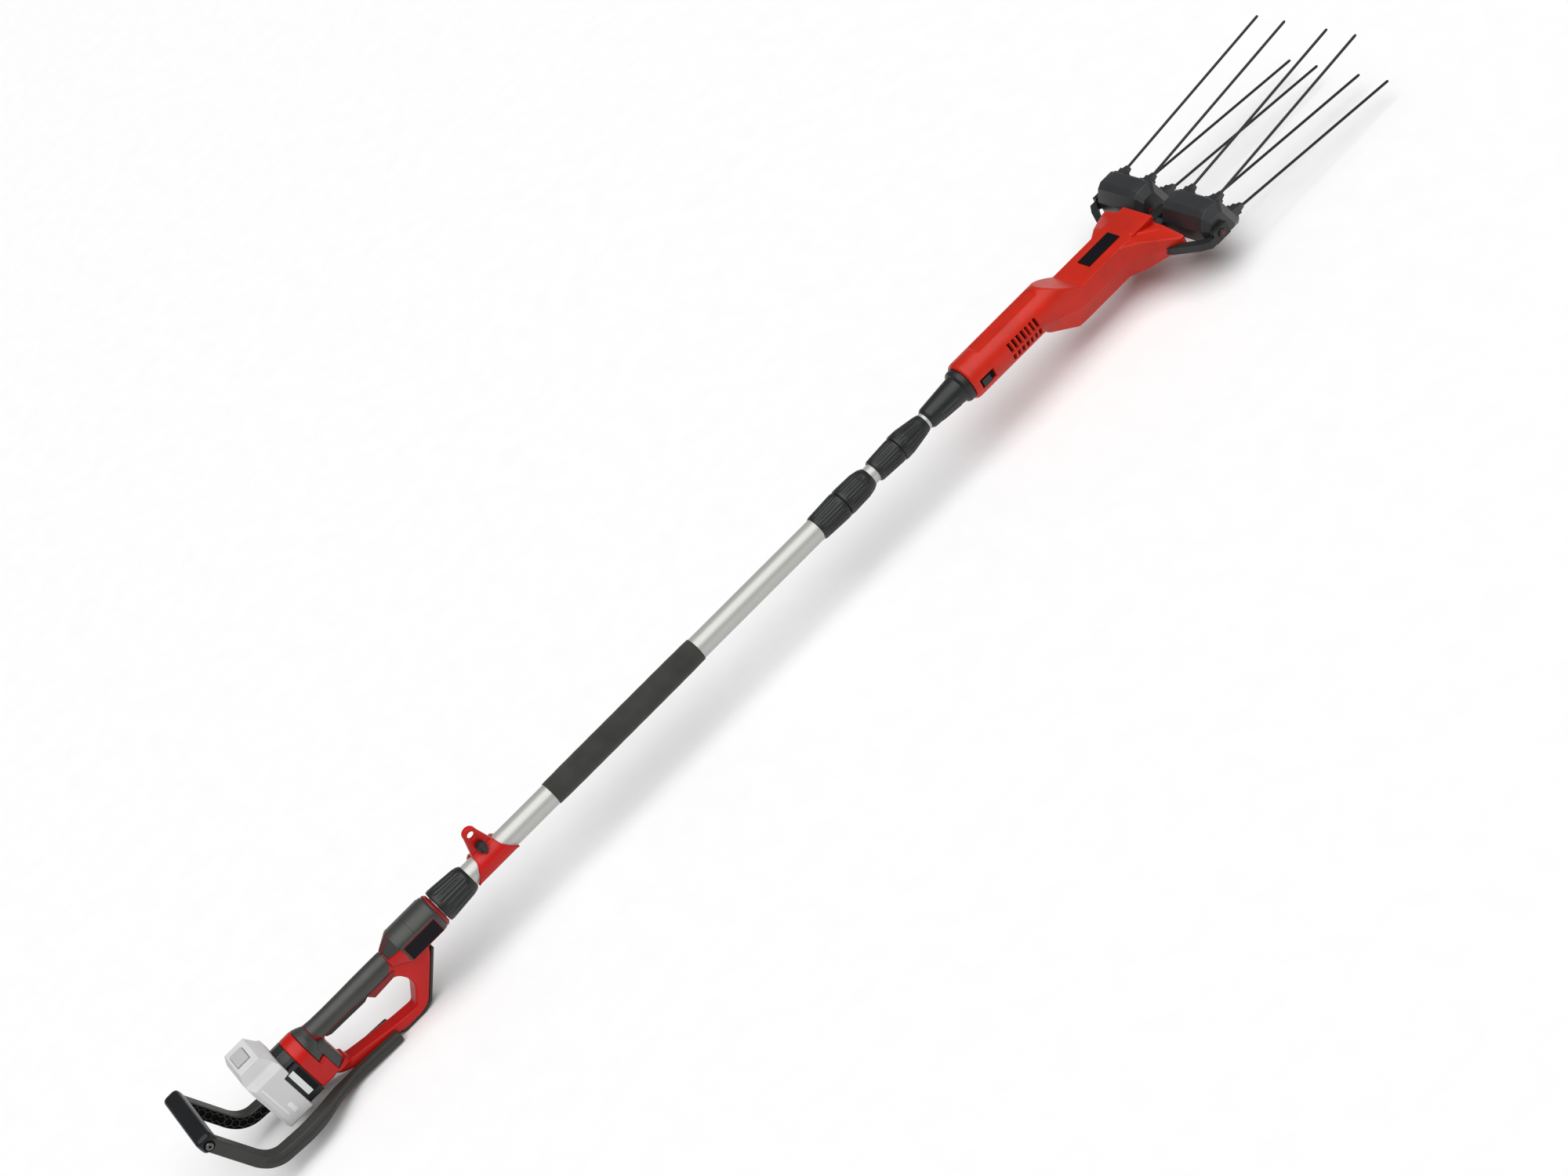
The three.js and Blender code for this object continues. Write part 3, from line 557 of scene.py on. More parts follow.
def ring_loop(name, outer, inner, middle, half, count=320, round_mm=6, power=0.3):
    """A flat ring between two outlines, read as radius against angle, with a rounded section."""
    def radius_of(points, angle):
        path = rounded(points, round_mm)
        path = denser(np.vstack([path, path[:1]]), 1.0)[:-1] - middle
        turn = np.arctan2(path[:, 1], path[:, 0])
        order = np.argsort(turn)
        return np.interp(angle, turn[order], np.hypot(path[:, 0], path[:, 1])[order], period=2 * np.pi)
    angle = np.linspace(-np.pi, np.pi, count, endpoint=False)
    far, near = radius_of(outer, angle), radius_of(inner, angle)
    turn = np.linspace(0, 2 * np.pi, 40, endpoint=False)
    push, side = squared(turn, power)
    side = side * half
    radius = (far + near)[:, None] / 2 + (far - near)[:, None] / 2 * push[None, :]
    grid = np.stack([middle[0] + radius * np.cos(angle)[:, None], np.tile(side, (count, 1)),
                     middle[1] + radius * np.sin(angle)[:, None]], -1)
    return from_grid(name, grid, loop_rows=True)


LOOP_HOLE = [[219, -11], [214, -16], [214, -62], [219, -70.5], [294, -84.5], [333, -89], [352, -60],
             [352, -44], [345, -30], [336, -24], [302, -21], [293, -11]]
LOOP_OUTER = [[188, -4], [175, -50], [196, -78], [217, -89], [294, -100], [300, -103], [334, -103],
              [350, -97], [396, -42], [404, -30], [404, -4]]
SADDLE = [(348, 15.9, 63), (352, 17.6, 63), (371, 28.3, 63), (373.5, 28.4, 66), (375, 28.4, 118),
          (384, 28.4, 138), (398, 28.4, 160)]


def trough(name, rows, wall=5):
    """An arc of wall under the barrel; rows hold station, radius and where it starts from the top."""
    rings = []
    for station, radius, start in rows:
        angle = np.radians(np.linspace(start, 360 - start, 90))
        arc = np.stack([-np.sin(angle), np.cos(angle)], -1)
        skin = np.vstack([radius * arc, (radius - wall) * arc[::-1]])
        rings.append(np.column_stack([np.full(len(skin), float(station)), skin]))
    return from_grid(name, np.array(rings))


def block_solid(name, rows, corner=7):
    """Arched sections joined along the tool; rows hold station, half width, top, bottom and spring."""
    return from_grid(name, np.array([arch_ring(*row, corner) for row in rows]))


block = block_solid("block", [(167.3, 29.8, 19.8, -60.8, -8), (168.6, 31, 21, -62, -8),
                              (187.8, 31, 21, -62, -8)])
below_panel = block_solid("below_panel", [(186, 31, -19, -62, -26), (190, 30, -19, -62, -26),
                                          (199.6, 26, -20, -64, -26)])
heel = block_solid("heel", [(197, 26, -57.4, -64, -59), (206, 20, -57.4, -69, -59),
                            (218, 12, -60, -76, -62)], 3)
loop = ring_loop("loop", LOOP_OUTER, LOOP_HOLE, np.array([283.0, -48.0]), 12)
core = turned("core", [[180, 0.1], [180, 13], [350, 13], [372, 25], [441, 25], [441, 0.1]], 0.5, 64)
saddle = trough("saddle", SADDLE)
handle_shell = melted("handle_shell", [block, below_panel, heel, loop, core, saddle], 1.1, 4)
hand_over(handle_shell, HANDLE_RED, "handle", "red_plastic",
          ["handle_shell_left", "handle_shell_right"])


# %% [markdown]
# Soft rubber is moulded over the shell where the hand holds it. On the grip it covers the back and
# both sides and stops in a clean edge above the trigger. Its section is an arc with a thickness,
# and the arc opens and closes along the grip.

# %% rubber over the grip and barrel
def overmould(name, rows, wall, points=96):
    """rows hold station, radius, height and the opening angle from straight down, in degrees."""
    rows = denser(np.array(rows, float), 2.0)
    rings = []
    for station, radius, height, opening in rows:
        angle = np.radians(np.linspace(-180 + opening, 180 - opening, points))
        edge = np.clip((1 - np.abs(np.linspace(-1, 1, points))) * points / 4, 0, 1)
        outer = radius - wall * (1 - np.sqrt(edge * (2 - edge)))
        arc = np.stack([station + 0 * angle, outer * np.sin(angle), height + outer * np.cos(angle)], -1)
        hidden = radius - wall - 1.0
        under = np.stack([station + 0 * angle, hidden * np.sin(angle), height + hidden * np.cos(angle)], -1)
        rings.append(np.vstack([arc, under[::-1]]))
    return from_grid(name, np.array(rings))


GRIP_ROWS = [(206, 15.2, -0.5, 121), (207, 16.4, -0.5, 118), (211, 16.2, -0.6, 92), (217, 15.8, -0.8, 63),
             (240, 15.5, -1, 61), (268, 15.6, -1, 61), (282, 15.9, -1.2, 50), (296, 16.3, -1.4, 36),
             (306, 16.5, -1.6, 33), (334, 16.3, -1.4, 34), (343, 16.0, -1.2, 78), (347.5, 15.6, -1, 106),
             (348.4, 14.8, -1, 108)]
SHOULDER_ROWS = [(350, 14.6, 0, 117), (351, 16.4, 0, 117), (371, 27.6, 0, 117), (375, 28.0, 0, 60),
                 (386, 28, 0, 38), (399, 28, 0, 16), (400.4, 28, 0, 14)]
# Finish, body and slot of the pieces that come again and again.
RUBBER_SKIN = (RUBBER, "handle", "grip_rubber")
RED_EDGE = (DEEP_RED, "handle", "deep_red_plastic")
hand_over(overmould("grip_cover", GRIP_ROWS, 2.6), *RUBBER_SKIN, ["grip_rubber"])
hand_over(overmould("shoulder_cover", SHOULDER_ROWS, 2.4), *RUBBER_SKIN)
BARREL = [[400.2, 25.2], [400.2, 28], [438, 28], [441, 26.4], [441, 25.2]]
hand_over(turned("barrel_cover", BARREL, 1.5, 128, None, 4.0), *RUBBER_SKIN, ["barrel_rubber"])
BARREL_RING = [[441.3, 17.8], [441.3, 27.0], [444, 26.6], [447.4, 23.6], [447.4, 17.8]]
hand_over(turned("barrel_ring_skin", BARREL_RING, 0.8), *RED_EDGE, ["barrel_ring"])

# %% [markdown]
# The neck panel steps down over the side of the red block. Two simple solids are melted together:
# a collar that narrows towards the grip, and a leg that runs down in front of the hand hole.

# %% neck panel, lip and plate pad
collar = block_solid("collar", [(188.3, 30.6, 20.6, -20, -8), (196, 27.4, 18.6, -20, -8),
                                (205.4, 18.6, 16.2, -20, -6)], 2)
leg = block_solid("leg", [(199.9, 26.6, -4, -56.5, -10), (206, 23, -4, -56.5, -10),
                          (213.4, 17.4, -6, -56.5, -12)], 3)
hand_over(melted("neck_panel_skin", [collar, leg], 1.0, 3), *RUBBER_SKIN, ["neck_panel"])
# The grip's lip is the shell itself; its deep red is painted shade and the black strip under it painted
# shadow.
LIP = [[294, -12.5], [302, -24.6], [338, -22.4], [346, -16], [344, -12.5]]
hand_over(prism("grip_lip", LIP, -13.2, 13.2, 1.0), *RED_EDGE)
LIP_SHADOW_LINE = [[302.5, -23.6], [301.6, -25.4], [332, -23.6], [332, -22.2]]
hand_over(prism("grip_lip_shadow_line", LIP_SHADOW_LINE, -11, 11, 0.5, 0.6), BLACK, "handle", "black_plastic")
PAD = [[371.5, -14.5], [436, -14.5], [436, 15.5], [371.5, 15.5]]
for side_name, y_low, y_high in (("right", -28.2, -20), ("left", 20, 28.2)):
    hand_over(prism("plate_pad_" + side_name, PAD, y_low, y_high, 1.2, 3), *RUBBER_SKIN)


# %% [markdown]
# Where red shell and rubber meet, the shell stands up in a thin bead. A bead is a small round
# section carried along a path on the surface of the grip.

# %% red beads
# A direction that no bead runs along; one axis of each section is square to it.
STEADY = [0.13, 0.21, 0.97]


def bead(name, path, radius=0.7, sides=10):
    """A round section carried along a path, turned with the path's own direction."""
    path = denser(rounded(path, 3, closed=False), 2.0)
    ahead = unit(np.gradient(path, axis=0))
    across = unit(np.cross(ahead, STEADY))
    upward = np.cross(ahead, across)
    turn = np.linspace(0, 2 * np.pi, sides, endpoint=False)[None, :, None]
    around = np.cos(turn) * across[:, None] + np.sin(turn) * upward[:, None]
    return from_grid(name, path[:, None] + radius * around)


def on_barrel(rows, side):
    """Points on the grip from station, radius, height and angle from straight down."""
    rows = np.array(rows, float)
    angle = np.radians(180 - rows[:, 3])
    across, upward = rows[:, 1] * np.sin(angle), rows[:, 1] * np.cos(angle)
    return np.stack([rows[:, 0], side * across, rows[:, 2] + upward], -1)


COLLAR_RING = [(205.6, 16.4, -0.5, a) for a in range(180, 110, -10)]
for side_name, side in (("right", -1), ("left", 1)):
    edge_rows = COLLAR_RING + [(r[0], r[1] - 0.6, r[2], r[3] - 3) for r in GRIP_ROWS[1:9]]
    hand_over(bead("grip_bead_" + side_name, on_barrel(edge_rows, side)), *RED_EDGE)
    ridge = [(349, 15.8, 0, 170), (372, 28.0, 0, 170), (374, 28.2, 0, 170)]
    hand_over(bead("shoulder_bead_" + side_name, on_barrel(ridge, side), 0.8), *RED_EDGE)

# %% [markdown]
# The name plate sits in a thin red frame. It is one more bead, this time round a rectangle.

# %% name plate outline
plate_low, plate_high = (375.2, -12.8), (432.8, 13.8)
FRAME = [(plate_low[0], plate_low[1]), (plate_high[0], plate_low[1]), (plate_high[0], plate_high[1]),
         (plate_low[0], plate_high[1]), (plate_low[0], plate_low[1] - 0.5)]
outline_path = denser(np.array([(x, -29.1, z) for x, z in FRAME], float), 2.0)
hand_over(bead("plate_outline", outline_path, 0.6), *RED_EDGE)

# %% [markdown]
# The dock, bumper, trigger, yoke, rakes, battery and plates have true CAD shapes already. They could
# be drawn again, but rounded copies show the same form with the soft edges of a moulding.

# %% rounded parts
PLAIN = [
    ("loop_bumper", 1.5, CHARCOAL, "handle", "black_plastic"),
    ("battery_dock", 1.2, BLACK, "handle", "black_plastic"),
    ("terminal_block", 0.8, BLACK, "handle", "black_plastic"),
    ("trigger", 1.8, BLACK, "trigger", "black_plastic"),
    ("handle_nameplate", 0.4, PLATE, "handle", "black_plastic"),
    ("battery_latch", 1.6, PACK_DARK, "battery_latch", "pack_plastic"),
    ("bracket_knob", 1.2, BLACK, "bracket_knob", "black_plastic"),
    ("yoke", 1.5, BLACK, "front_pole", "black_plastic"),
    ("head_switch", 0.8, BLACK, "head_switch", "black_plastic"),
    ("head_nameplate", 0.4, PLATE, "front_pole", "black_plastic"),
    ("battery_case", 2.2, PALE_PACK, "battery", "pack_plastic"),
    ("rake_left", 1.1, RAKE_GREY, "rake_left", "charcoal_plastic"),
    ("rake_right", 1.1, RAKE_GREY, "rake_right", "charcoal_plastic"),
]
for node, edge, material, body, slot in PLAIN:
    hand_over(moulded(node, edge), material, body, slot, [node])


# %% [markdown]
# The strap bracket is a saddle that hugs the pole, flared at both feet, with an upright ear for the
# hook. Saddle and ear are made apart and melted, which gives the fillet between them.

# %% strap bracket
def saddle_sleeve(name):
    """A sleeve whose two ends move outward with depth, so its feet flare; open underneath."""
    angle = np.radians(np.linspace(-121, 121, 121))
    height = 21.5 * np.cos(angle)
    left = np.interp(height, [-11, -2, 8, 21.5], [509, 517, 523, 530])
    right = np.interp(height, [-11, -2, 8, 21.5], [587, 579, 573, 566])
    rings = []
    for share in np.linspace(0, 1, 50):
        x = left * (1 - share) + right * share
        lift = 21.5 + 0.9 * np.clip(1 - np.minimum(share, 1 - share) * 18, 0, 1)
        outer = np.stack([x, lift * np.sin(angle), lift * np.cos(angle)], -1)
        inner = np.stack([x, 17.9 * np.sin(angle), 17.9 * np.cos(angle)], -1)
        rings.append(np.vstack([outer, inner[::-1]]))
    return from_grid(name, np.array(rings))


ARC = np.linspace(0.2, np.pi - 0.2, 13)
EAR = [[567, 19], [559, 50]] + [[548 + 11 * math.cos(a), 51.5 + 10.6 * math.sin(a)] for a in ARC]
EAR += [[537, 50], [529, 19]]
# A circle of radius 1 in 24 points, for the eye here and the screw pockets later.
CIRCLE = [[math.cos(a), math.sin(a)] for a in np.linspace(0, 2 * np.pi, 24, endpoint=False)]
EYE = [[548 + 5.8 * c, 49 + 5.8 * d] for c, d in CIRCLE]
ear = ring_loop("ear", EAR, EYE, np.array([548.0, 49.0]), 4, 240, 1.5, 0.35)
bracket = melted("bracket_skin", [saddle_sleeve("feet"), ear], 0.8, 3)
hand_over(bracket, HANDLE_RED, "strap_bracket", "red_plastic", ["strap_bracket"])

# %% [markdown]
# The rating label lies on the dock's flank and bends over with it. A real one carries text; this one
# is a blank dark plate with one pale field, which says nothing.

# %% rating label
def flank_patch(name, stations, low_z, high_z, lift):
    """A thin curved plate that follows the dock's arched flank, lift millimetres proud of it."""
    path = arch_ring(0, 30.5 + lift, 20.5 + lift, -59, -8)
    path = np.vstack([[0, 30.5 + lift, -50], path[:25], [0, -30.5 - lift, -50]])
    side = path[path[:, 1] < 0]
    order = np.argsort(side[:, 2])
    height = np.linspace(low_z, high_z, 40)
    reach = np.interp(height, side[order, 2], side[order, 1])
    rings = []
    for station in np.linspace(*stations, 6):
        skin = np.stack([station + 0 * height, reach, height], -1)
        back = np.stack([station + 0 * height, reach + 1.2, height], -1)
        rings.append(np.vstack([skin, back[::-1]]))
    return from_grid(name, np.array(rings))


hand_over(flank_patch("dock_label_plate", (151.5, 165.5), -48, 8, 1.0), PLATE, "handle", "black_plastic")
label_low = flank_patch("dock_label_plate_low", (145.5, 151.7), -48, 3, 1.0)
hand_over(label_low, PLATE, "handle", "black_plastic", ["dock_label"])
label_field = flank_patch("dock_label_field", (146.6, 156), -46, 2, 1.35)
hand_over(label_field, PACK_LIGHT, "handle", "pack_plastic")

# %% [markdown]
# Moulded marks on the battery's flank: a long rib that guides it along the rails, and a raised pad.

# %% battery marks
RIB = [[109, -42], [112, -42], [111, 20], [108.4, 20]]
hand_over(prism("battery_rib", RIB, -38.7, -37.2, 0.3, 1), PACK_LIGHT, "battery", "pack_plastic")
LUG = [[117, -46], [125, -46], [124.4, -28], [117.4, -28]]
hand_over(prism("battery_lug", LUG, -38.9, -37.2, 0.5, 2), PACK_LIGHT, "battery", "pack_plastic")
print("label and battery marks made")


# %% [markdown]
# ## The guard bow
# Each arm is a square tube bent from the crossbar down under the battery and in against the loop.
# Its section travels along a rounded route. A groove runs along the outside, and the inside face is
# cast as a honeycomb of ribs: the skin sinks inside every hexagon and stays up along the walls.

# %% guard arms
# Station, side, height, half width and half height of the arm's section at each bend.
ARM_ROUTE = np.array([[10.5, 54, 46, 10, 10], [12, 54, 42, 10, 10], [41, 54, -46, 10, 10],
                      [50, 54, -60, 10, 10], [64, 54, -69, 10, 10], [112, 54, -73, 10, 10],
                      [142, 50, -74, 10, 9.4], [172, 34, -80.3, 8.5, 8], [208, 17.4, -92, 5.1, 8.3],
                      [290, 17.4, -97, 5.1, 8.3]], float)
HONEYCOMB_MM = 11.5
CELL_DEPTH = 3.0
GROOVE_DEPTH = 1.3


def honeycomb(along, across, size):
    """Distance to the nearest wall of a hexagon tiling, in millimetres."""
    pitch = size * 0.866
    row = np.round(across / pitch)
    best = np.full(np.broadcast(along, across).shape, np.inf)
    du_best, dv_best = best.copy(), best.copy()
    for shift in (-1, 0, 1):
        r = row + shift
        offset = 0.5 * (r % 2)
        u = along - (np.round(along / size - offset) + offset) * size
        v = across - r * pitch
        far = u * u + v * v
        nearer = far < best
        best = np.where(nearer, far, best)
        du_best, dv_best = np.where(nearer, u, du_best), np.where(nearer, v, dv_best)
    slant = np.abs(du_best) * 0.5 + np.abs(dv_best) * 0.866
    return 0.5 * size - np.maximum(np.abs(du_best), slant)


def paint_faces(piece, columns, chosen, index):
    """Gives a material index to the quads of a grid where chosen[row, column] is true."""
    wanted = np.zeros(len(piece.data.polygons), int)
    rows = min(chosen.shape[0], len(wanted) // columns)
    wanted[:rows * columns] = chosen[:rows].reshape(-1) * index
    piece.data.polygons.foreach_set("material_index", wanted)


def guard_arm(name, mirror):
    """The section carried along the rounded route, with ribs inside and a groove outside."""
    route = denser(rounded(ARM_ROUTE, 14, closed=False, steps=9), 0.9)
    ahead = np.gradient(route[:, :3], axis=0)
    ahead[:, 1] = 0
    ahead = unit(ahead)
    travel = travelled(route[:, :3])
    square = np.array([[1, -1], [1, 1], [-1, 1], [-1, -1]], float)
    side, rise = even(rounded(square, 0.28), 190).T
    upward = rise[None, :] * route[:, 4:5]
    sideways = side[None, :] * route[:, 3:4]
    end_in = np.clip(np.minimum(travel, travel[-1] - travel) / 3.0, 0, 1)[:, None]
    shrink = 0.72 + 0.28 * np.sqrt(end_in * (2 - end_in))
    ribbed = (side < -0.98)[None, :] & (np.abs(rise) < 0.80)[None, :]
    ribbed = ribbed & (travel > 14)[:, None] & (travel < travel[-1] - 150)[:, None]
    depth = np.clip((honeycomb(travel[:, None], upward, HONEYCOMB_MM) - 0.55) * 2.2, 0, 1) * ribbed
    sideways = sideways + CELL_DEPTH * depth
    groove = np.clip(1 - (np.abs(upward - 1.0) / 2.6) ** 2, 0, 1) * (travel > 104)[:, None]
    sideways = sideways - GROOVE_DEPTH * groove * (side > 0.9)[None, :]
    grid = np.stack([
        route[:, :1] - ahead[:, 2:3] * upward * shrink,
        mirror * (route[:, 1:2] + sideways * shrink),
        route[:, 2:3] + ahead[:, 0:1] * upward * shrink,
    ], -1)
    return from_grid(name, grid), depth > 0.5


for side_name, mirror in (("left", 1), ("right", -1)):
    arm, cells = guard_arm("guard_arm_" + side_name + "_skin", mirror)
    hand_over(arm, [CHARCOAL, PAINTED_RECESS_SHADE], "handle", "charcoal_plastic", ["guard_arm_" + side_name])
    # The floor of every honeycomb cell is painted near-black as shade.
    paint_faces(arm, cells.shape[1], cells, 1)

# %% [markdown]
# The crossbar is a nearly square bar laid over the tops of both arms, drawn in at its two ends. A
# cap screw holds it at each end, ringed by a thin near-black disc that paints the shade of its pocket.

# %% crossbar and its screws
def rounded_bar(name, centre, half_x, half_z, y_low, y_high, draw_in=9, count=64):
    """A nearly square section along Y, drawn in at both ends over draw_in millimetres."""
    across, upward = squared(np.linspace(0, 2 * np.pi, count, endpoint=False), 0.5)
    across, upward = across * half_x, upward * half_z
    ends = draw_in * (1 - np.cos(np.linspace(0, np.pi / 2, 12)))
    along = np.concatenate([y_low + ends, y_high - ends[::-1]])
    end = np.clip(np.minimum(along - y_low, y_high - along) / draw_in, 0, 1)
    scale = 0.45 + 0.55 * np.sqrt(end * (2 - end))
    grid = np.stack([
        centre[0] + across[None, :] * scale[:, None],
        np.tile(along[:, None], (1, count)),
        centre[1] + upward[None, :] * scale[:, None],
    ], -1)
    return from_grid(name, grid)


SCREW_AT = (13, 37)
crossbar = rounded_bar("crossbar_skin", (13.4, 38.6), 13.2, 13.6, -64.3, 64.3)
hand_over(crossbar, BLUE_BLACK, "handle", "black_plastic", ["guard_crossbar"])


def turned_y(name, station, height, rows, angle):
    """rows hold side and radius, one number or one for each angle; each ring lies across Y."""
    rings = [np.stack([station + r * np.cos(angle), y + 0 * angle, height + r * np.sin(angle)], -1)
             for y, r in rows]
    return from_grid(name, np.array(rings))


def socket_screw(name, station, height, side):
    """Turned about Y: a shank, a domed head, and a hexagon socket sunk into it."""
    angle = np.linspace(0, 2 * np.pi, 96, endpoint=False)
    hexagon = 2.3 * np.cos(np.pi / 6) / np.cos((angle % (np.pi / 3)) - np.pi / 6)
    rows = [(44.5, 4.4), (63.2, 4.4), (63.2, 6.0), (66.2, 6.0), (67.1, 5.4), (67.2, 3.0),
            (67.2, hexagon), (64.4, 0.98 * hexagon)]
    return turned_y(name, station, height, [(side * y, r) for y, r in rows], angle)


for side_name, side in (("left", 1), ("right", -1)):
    screw = socket_screw("cap_screw_" + side_name, *SCREW_AT, side)
    hand_over(screw, STEEL, "handle", "steel", ["guard_screw_" + side_name])
    # A thin near-black disc round the screw head is painted shade standing in for its pocket.
    rim = [[SCREW_AT[0] + 8.6 * c, SCREW_AT[1] + 8.6 * d] for c, d in CIRCLE]
    low, high = (64.2, 65.0) if side > 0 else (-65.0, -64.2)
    pocket_shade_disc = prism("screw_pocket_shade_" + side_name, rim, low, high, 0.3, 1.0)
    hand_over(pocket_shade_disc, PAINTED_RECESS_SHADE, "handle", "black_plastic")


# %% [markdown]
# ## The head housing
# The motor sits in a cylinder in line with the pole; the gearbox hangs below it in a facetted body
# that fans out to carry the rakes. The sharp creases are where simple solids meet: a round bar cut
# by a sloping plane, and a boxed body. Seen from a centre line inside both, the skin at each angle
# is the farther of the two, so one radius function gives every crease without any trimming.

# %% housing sections
HEAD_R = 31.5
CENTRE_Z = -28.0
HEAD_X = (1490.4, 1850.0)
LID_X, LID_Z = [1526, 1529, 1647, 1650, 1656, 1703], [31.6, 28.7, 28.7, 31.6, 31.6, -3]
# Heights and half widths of the boxed body's corners at six stations.
STOPS = [1632, 1678, 1692, 1782, 1804, 1844]
BODY = {
    "deck": [3, -1, -3, -3, -3, -17],
    "fold": [16, 16, 16, 17, 20, 46],
    "half": [31.2, 31.8, 32, 32, 50.6, 85],
    "wing": [2.8, -1.2, -3.4, -3.6, -7, -25],
    "waist": [-8, -27, -31, -31, -33.5, -38],
    "foot": [20, 23, 24, 24, 43, 78],
    "belly": [-31.6, -61, -61, -61, -60, -49],
}


def bar_reach(x, dir_z):
    """Distance to the round bar, cut flat along its crown and sloping down past the motor."""
    radius = np.interp(x, [1490.4, 1492.5, 1497], [28.5, 30.6, HEAD_R])[:, None]
    along = -CENTRE_Z * dir_z
    reach = along + np.sqrt(np.maximum(along ** 2 - CENTRE_Z ** 2 + radius ** 2, 0))
    lid = np.interp(x, LID_X, LID_Z)[:, None]
    up = np.maximum(dir_z, 1e-6)
    return np.minimum(reach, np.where(dir_z > 0, (lid - CENTRE_Z) / up, np.inf))


def body_reach(x, dir_y, dir_z, inset):
    """Distance to the nearest of the boxed body's sides, each a line through two key points."""
    key = {name: np.interp(x, STOPS, values)[:, None] for name, values in BODY.items()}
    zero = 0 * key["deck"]
    corners = [(zero, key["deck"]), (key["fold"], key["deck"]), (key["half"] - 1.2, key["wing"]),
               (key["half"], key["wing"] - 1.6), (key["half"], key["waist"]),
               (key["foot"], key["belly"] + 2), (key["foot"] - 2.5, key["belly"]), (zero, key["belly"])]
    reach = np.full(np.broadcast(key["deck"], dir_z).shape, np.inf)
    for (y0, z0), (y1, z1) in zip(corners, corners[1:]):
        length = np.hypot(y1 - y0, z1 - z0)
        normal_y, normal_z = -(z1 - z0) / length, (y1 - y0) / length
        away = normal_y * np.abs(dir_y) + normal_z * dir_z
        gap = normal_y * y0 + normal_z * (z0 - CENTRE_Z) - inset
        reach = np.where(away > 1e-6, np.minimum(reach, gap / np.maximum(away, 1e-6)), reach)
    return np.where(x[:, None] < STOPS[0], 0, reach)


def skin_rings(x, inset=0.0, columns=360):
    """Rings of points at each station, from the larger of the two reaches."""
    angle = np.linspace(0, 2 * np.pi, columns, endpoint=False)[None, :]
    dir_y, dir_z = np.sin(angle), np.cos(angle)
    body = body_reach(x, dir_y, dir_z, inset)
    reach = np.maximum(bar_reach(x, dir_z), body) if inset == 0 else body
    station = np.tile(x[:, None], (1, columns))
    return np.stack([station, reach * dir_y, CENTRE_Z + reach * dir_z], -1)


def blurred(grid):
    """Each point moves to the weighted mean of itself and its two neighbours, along then round."""
    middle = 0.5 * grid[1:-1] + 0.25 * (grid[:-2] + grid[2:])
    grid = np.concatenate([grid[:1], middle, grid[-1:]])
    return 0.5 * grid + 0.25 * (np.roll(grid, 1, 1) + np.roll(grid, -1, 1))


# %% [markdown]
# Two rows of slots let the motor breathe, and a pocket holds the switch. They are pushed into the
# grid after the blur; the sunken faces and the inside of the mouth take a near-black painted shade.
# A rib is raised along each fold of the deck, and a fine groove marks where the two half shells meet.

# %% housing skin
SLOTS_END = 1630
SLOT_FIRST, SLOT_PITCH, SLOT_WIDE, SLOT_COUNT = 1564, 8.6, 4.0, 7
# Rings lie closer together where the slots are.
outer_x = np.concatenate([np.arange(HEAD_X[0], SLOTS_END, 1.1), np.arange(SLOTS_END, HEAD_X[1], 1.7),
                          [HEAD_X[1]]])
outer_rings = blurred(skin_rings(outer_x))


def ribbed(rings):
    """Adds the two ribs on the deck and the parting groove."""
    x, y, z = rings[..., 0], rings[..., 1], rings[..., 2]
    fold = np.interp(x, STOPS, BODY["fold"])
    height = np.interp(x, STOPS, BODY["deck"])
    on_rib = np.clip(1.6 - np.abs(np.abs(y) - fold) / 2.6, 0, 1) * (np.abs(z - height) < 3)
    z = z + 1.2 * on_rib * np.clip((x - 1806) / 3, 0, 1) * np.clip((1845 - x) / 3, 0, 1)
    parting = np.clip(1 - np.abs(z + 16) / 0.6, 0, 1)
    return np.stack([x, y * (1 - 0.012 * parting), z], -1)


def sink(rings, x_low, x_high, z_low, z_high, depth, side=-1):
    """Pushes points of one side inward inside a window of station and height."""
    x, y, z = rings[..., 0], rings[..., 1], rings[..., 2]
    inside = (x > x_low) & (x < x_high) & (z > z_low) & (z < z_high) & (np.sign(y) == side)
    rings = rings.copy()
    rings[..., 1] -= side * depth * inside
    return rings, inside


outer_rings = ribbed(outer_rings)
sunk = np.zeros(outer_rings.shape[:2], bool)
for k in range(SLOT_COUNT):
    x = SLOT_FIRST + k * SLOT_PITCH
    for side in (-1, 1):
        for z_low, z_high in ((-1, 14), (-15, -5)):
            outer_rings, hit = sink(outer_rings, x, x + SLOT_WIDE, z_low, z_high, 4.0, side)
            sunk |= hit
outer_rings, hit = sink(outer_rings, 1501, 1527, -10.5, 4.5, 3.0)
sunk |= hit
lip = skin_rings(np.array([1850.0, 1849.5, 1842, 1830, 1815, 1800]), 3.0)
mouth_end = lip[-1:] * np.array([1, 0.2, 0.2]) + np.array([0, 0, -24.0])
housing_grid = np.concatenate([outer_rings, lip, mouth_end])
housing = from_grid("head_housing", housing_grid)
# Faces of the sunken slots, the switch pocket and the mouth's inner rings are painted near-black as shade.
flags = np.zeros(housing_grid.shape[:2], bool)
flags[:len(sunk)] = sunk
flags[len(sunk) + 1:] = True
soften(housing, 16)
hand_over(housing, [HEAD_RED, PAINTED_RECESS_SHADE], "front_pole", "red_plastic",
          ["housing_top", "housing_bottom"])
dark = flags[:-1] & flags[1:] & np.roll(flags, -1, 1)[:-1] & np.roll(flags, -1, 1)[1:]
paint_faces(housing, flags.shape[1], dark, 1)

# %% [markdown]
# Between the ribs the deck is covered with small domes, so that a gloved hand can hold it. The
# patch is a grid whose height is the deck's own plus a dome at every point of a staggered lattice.

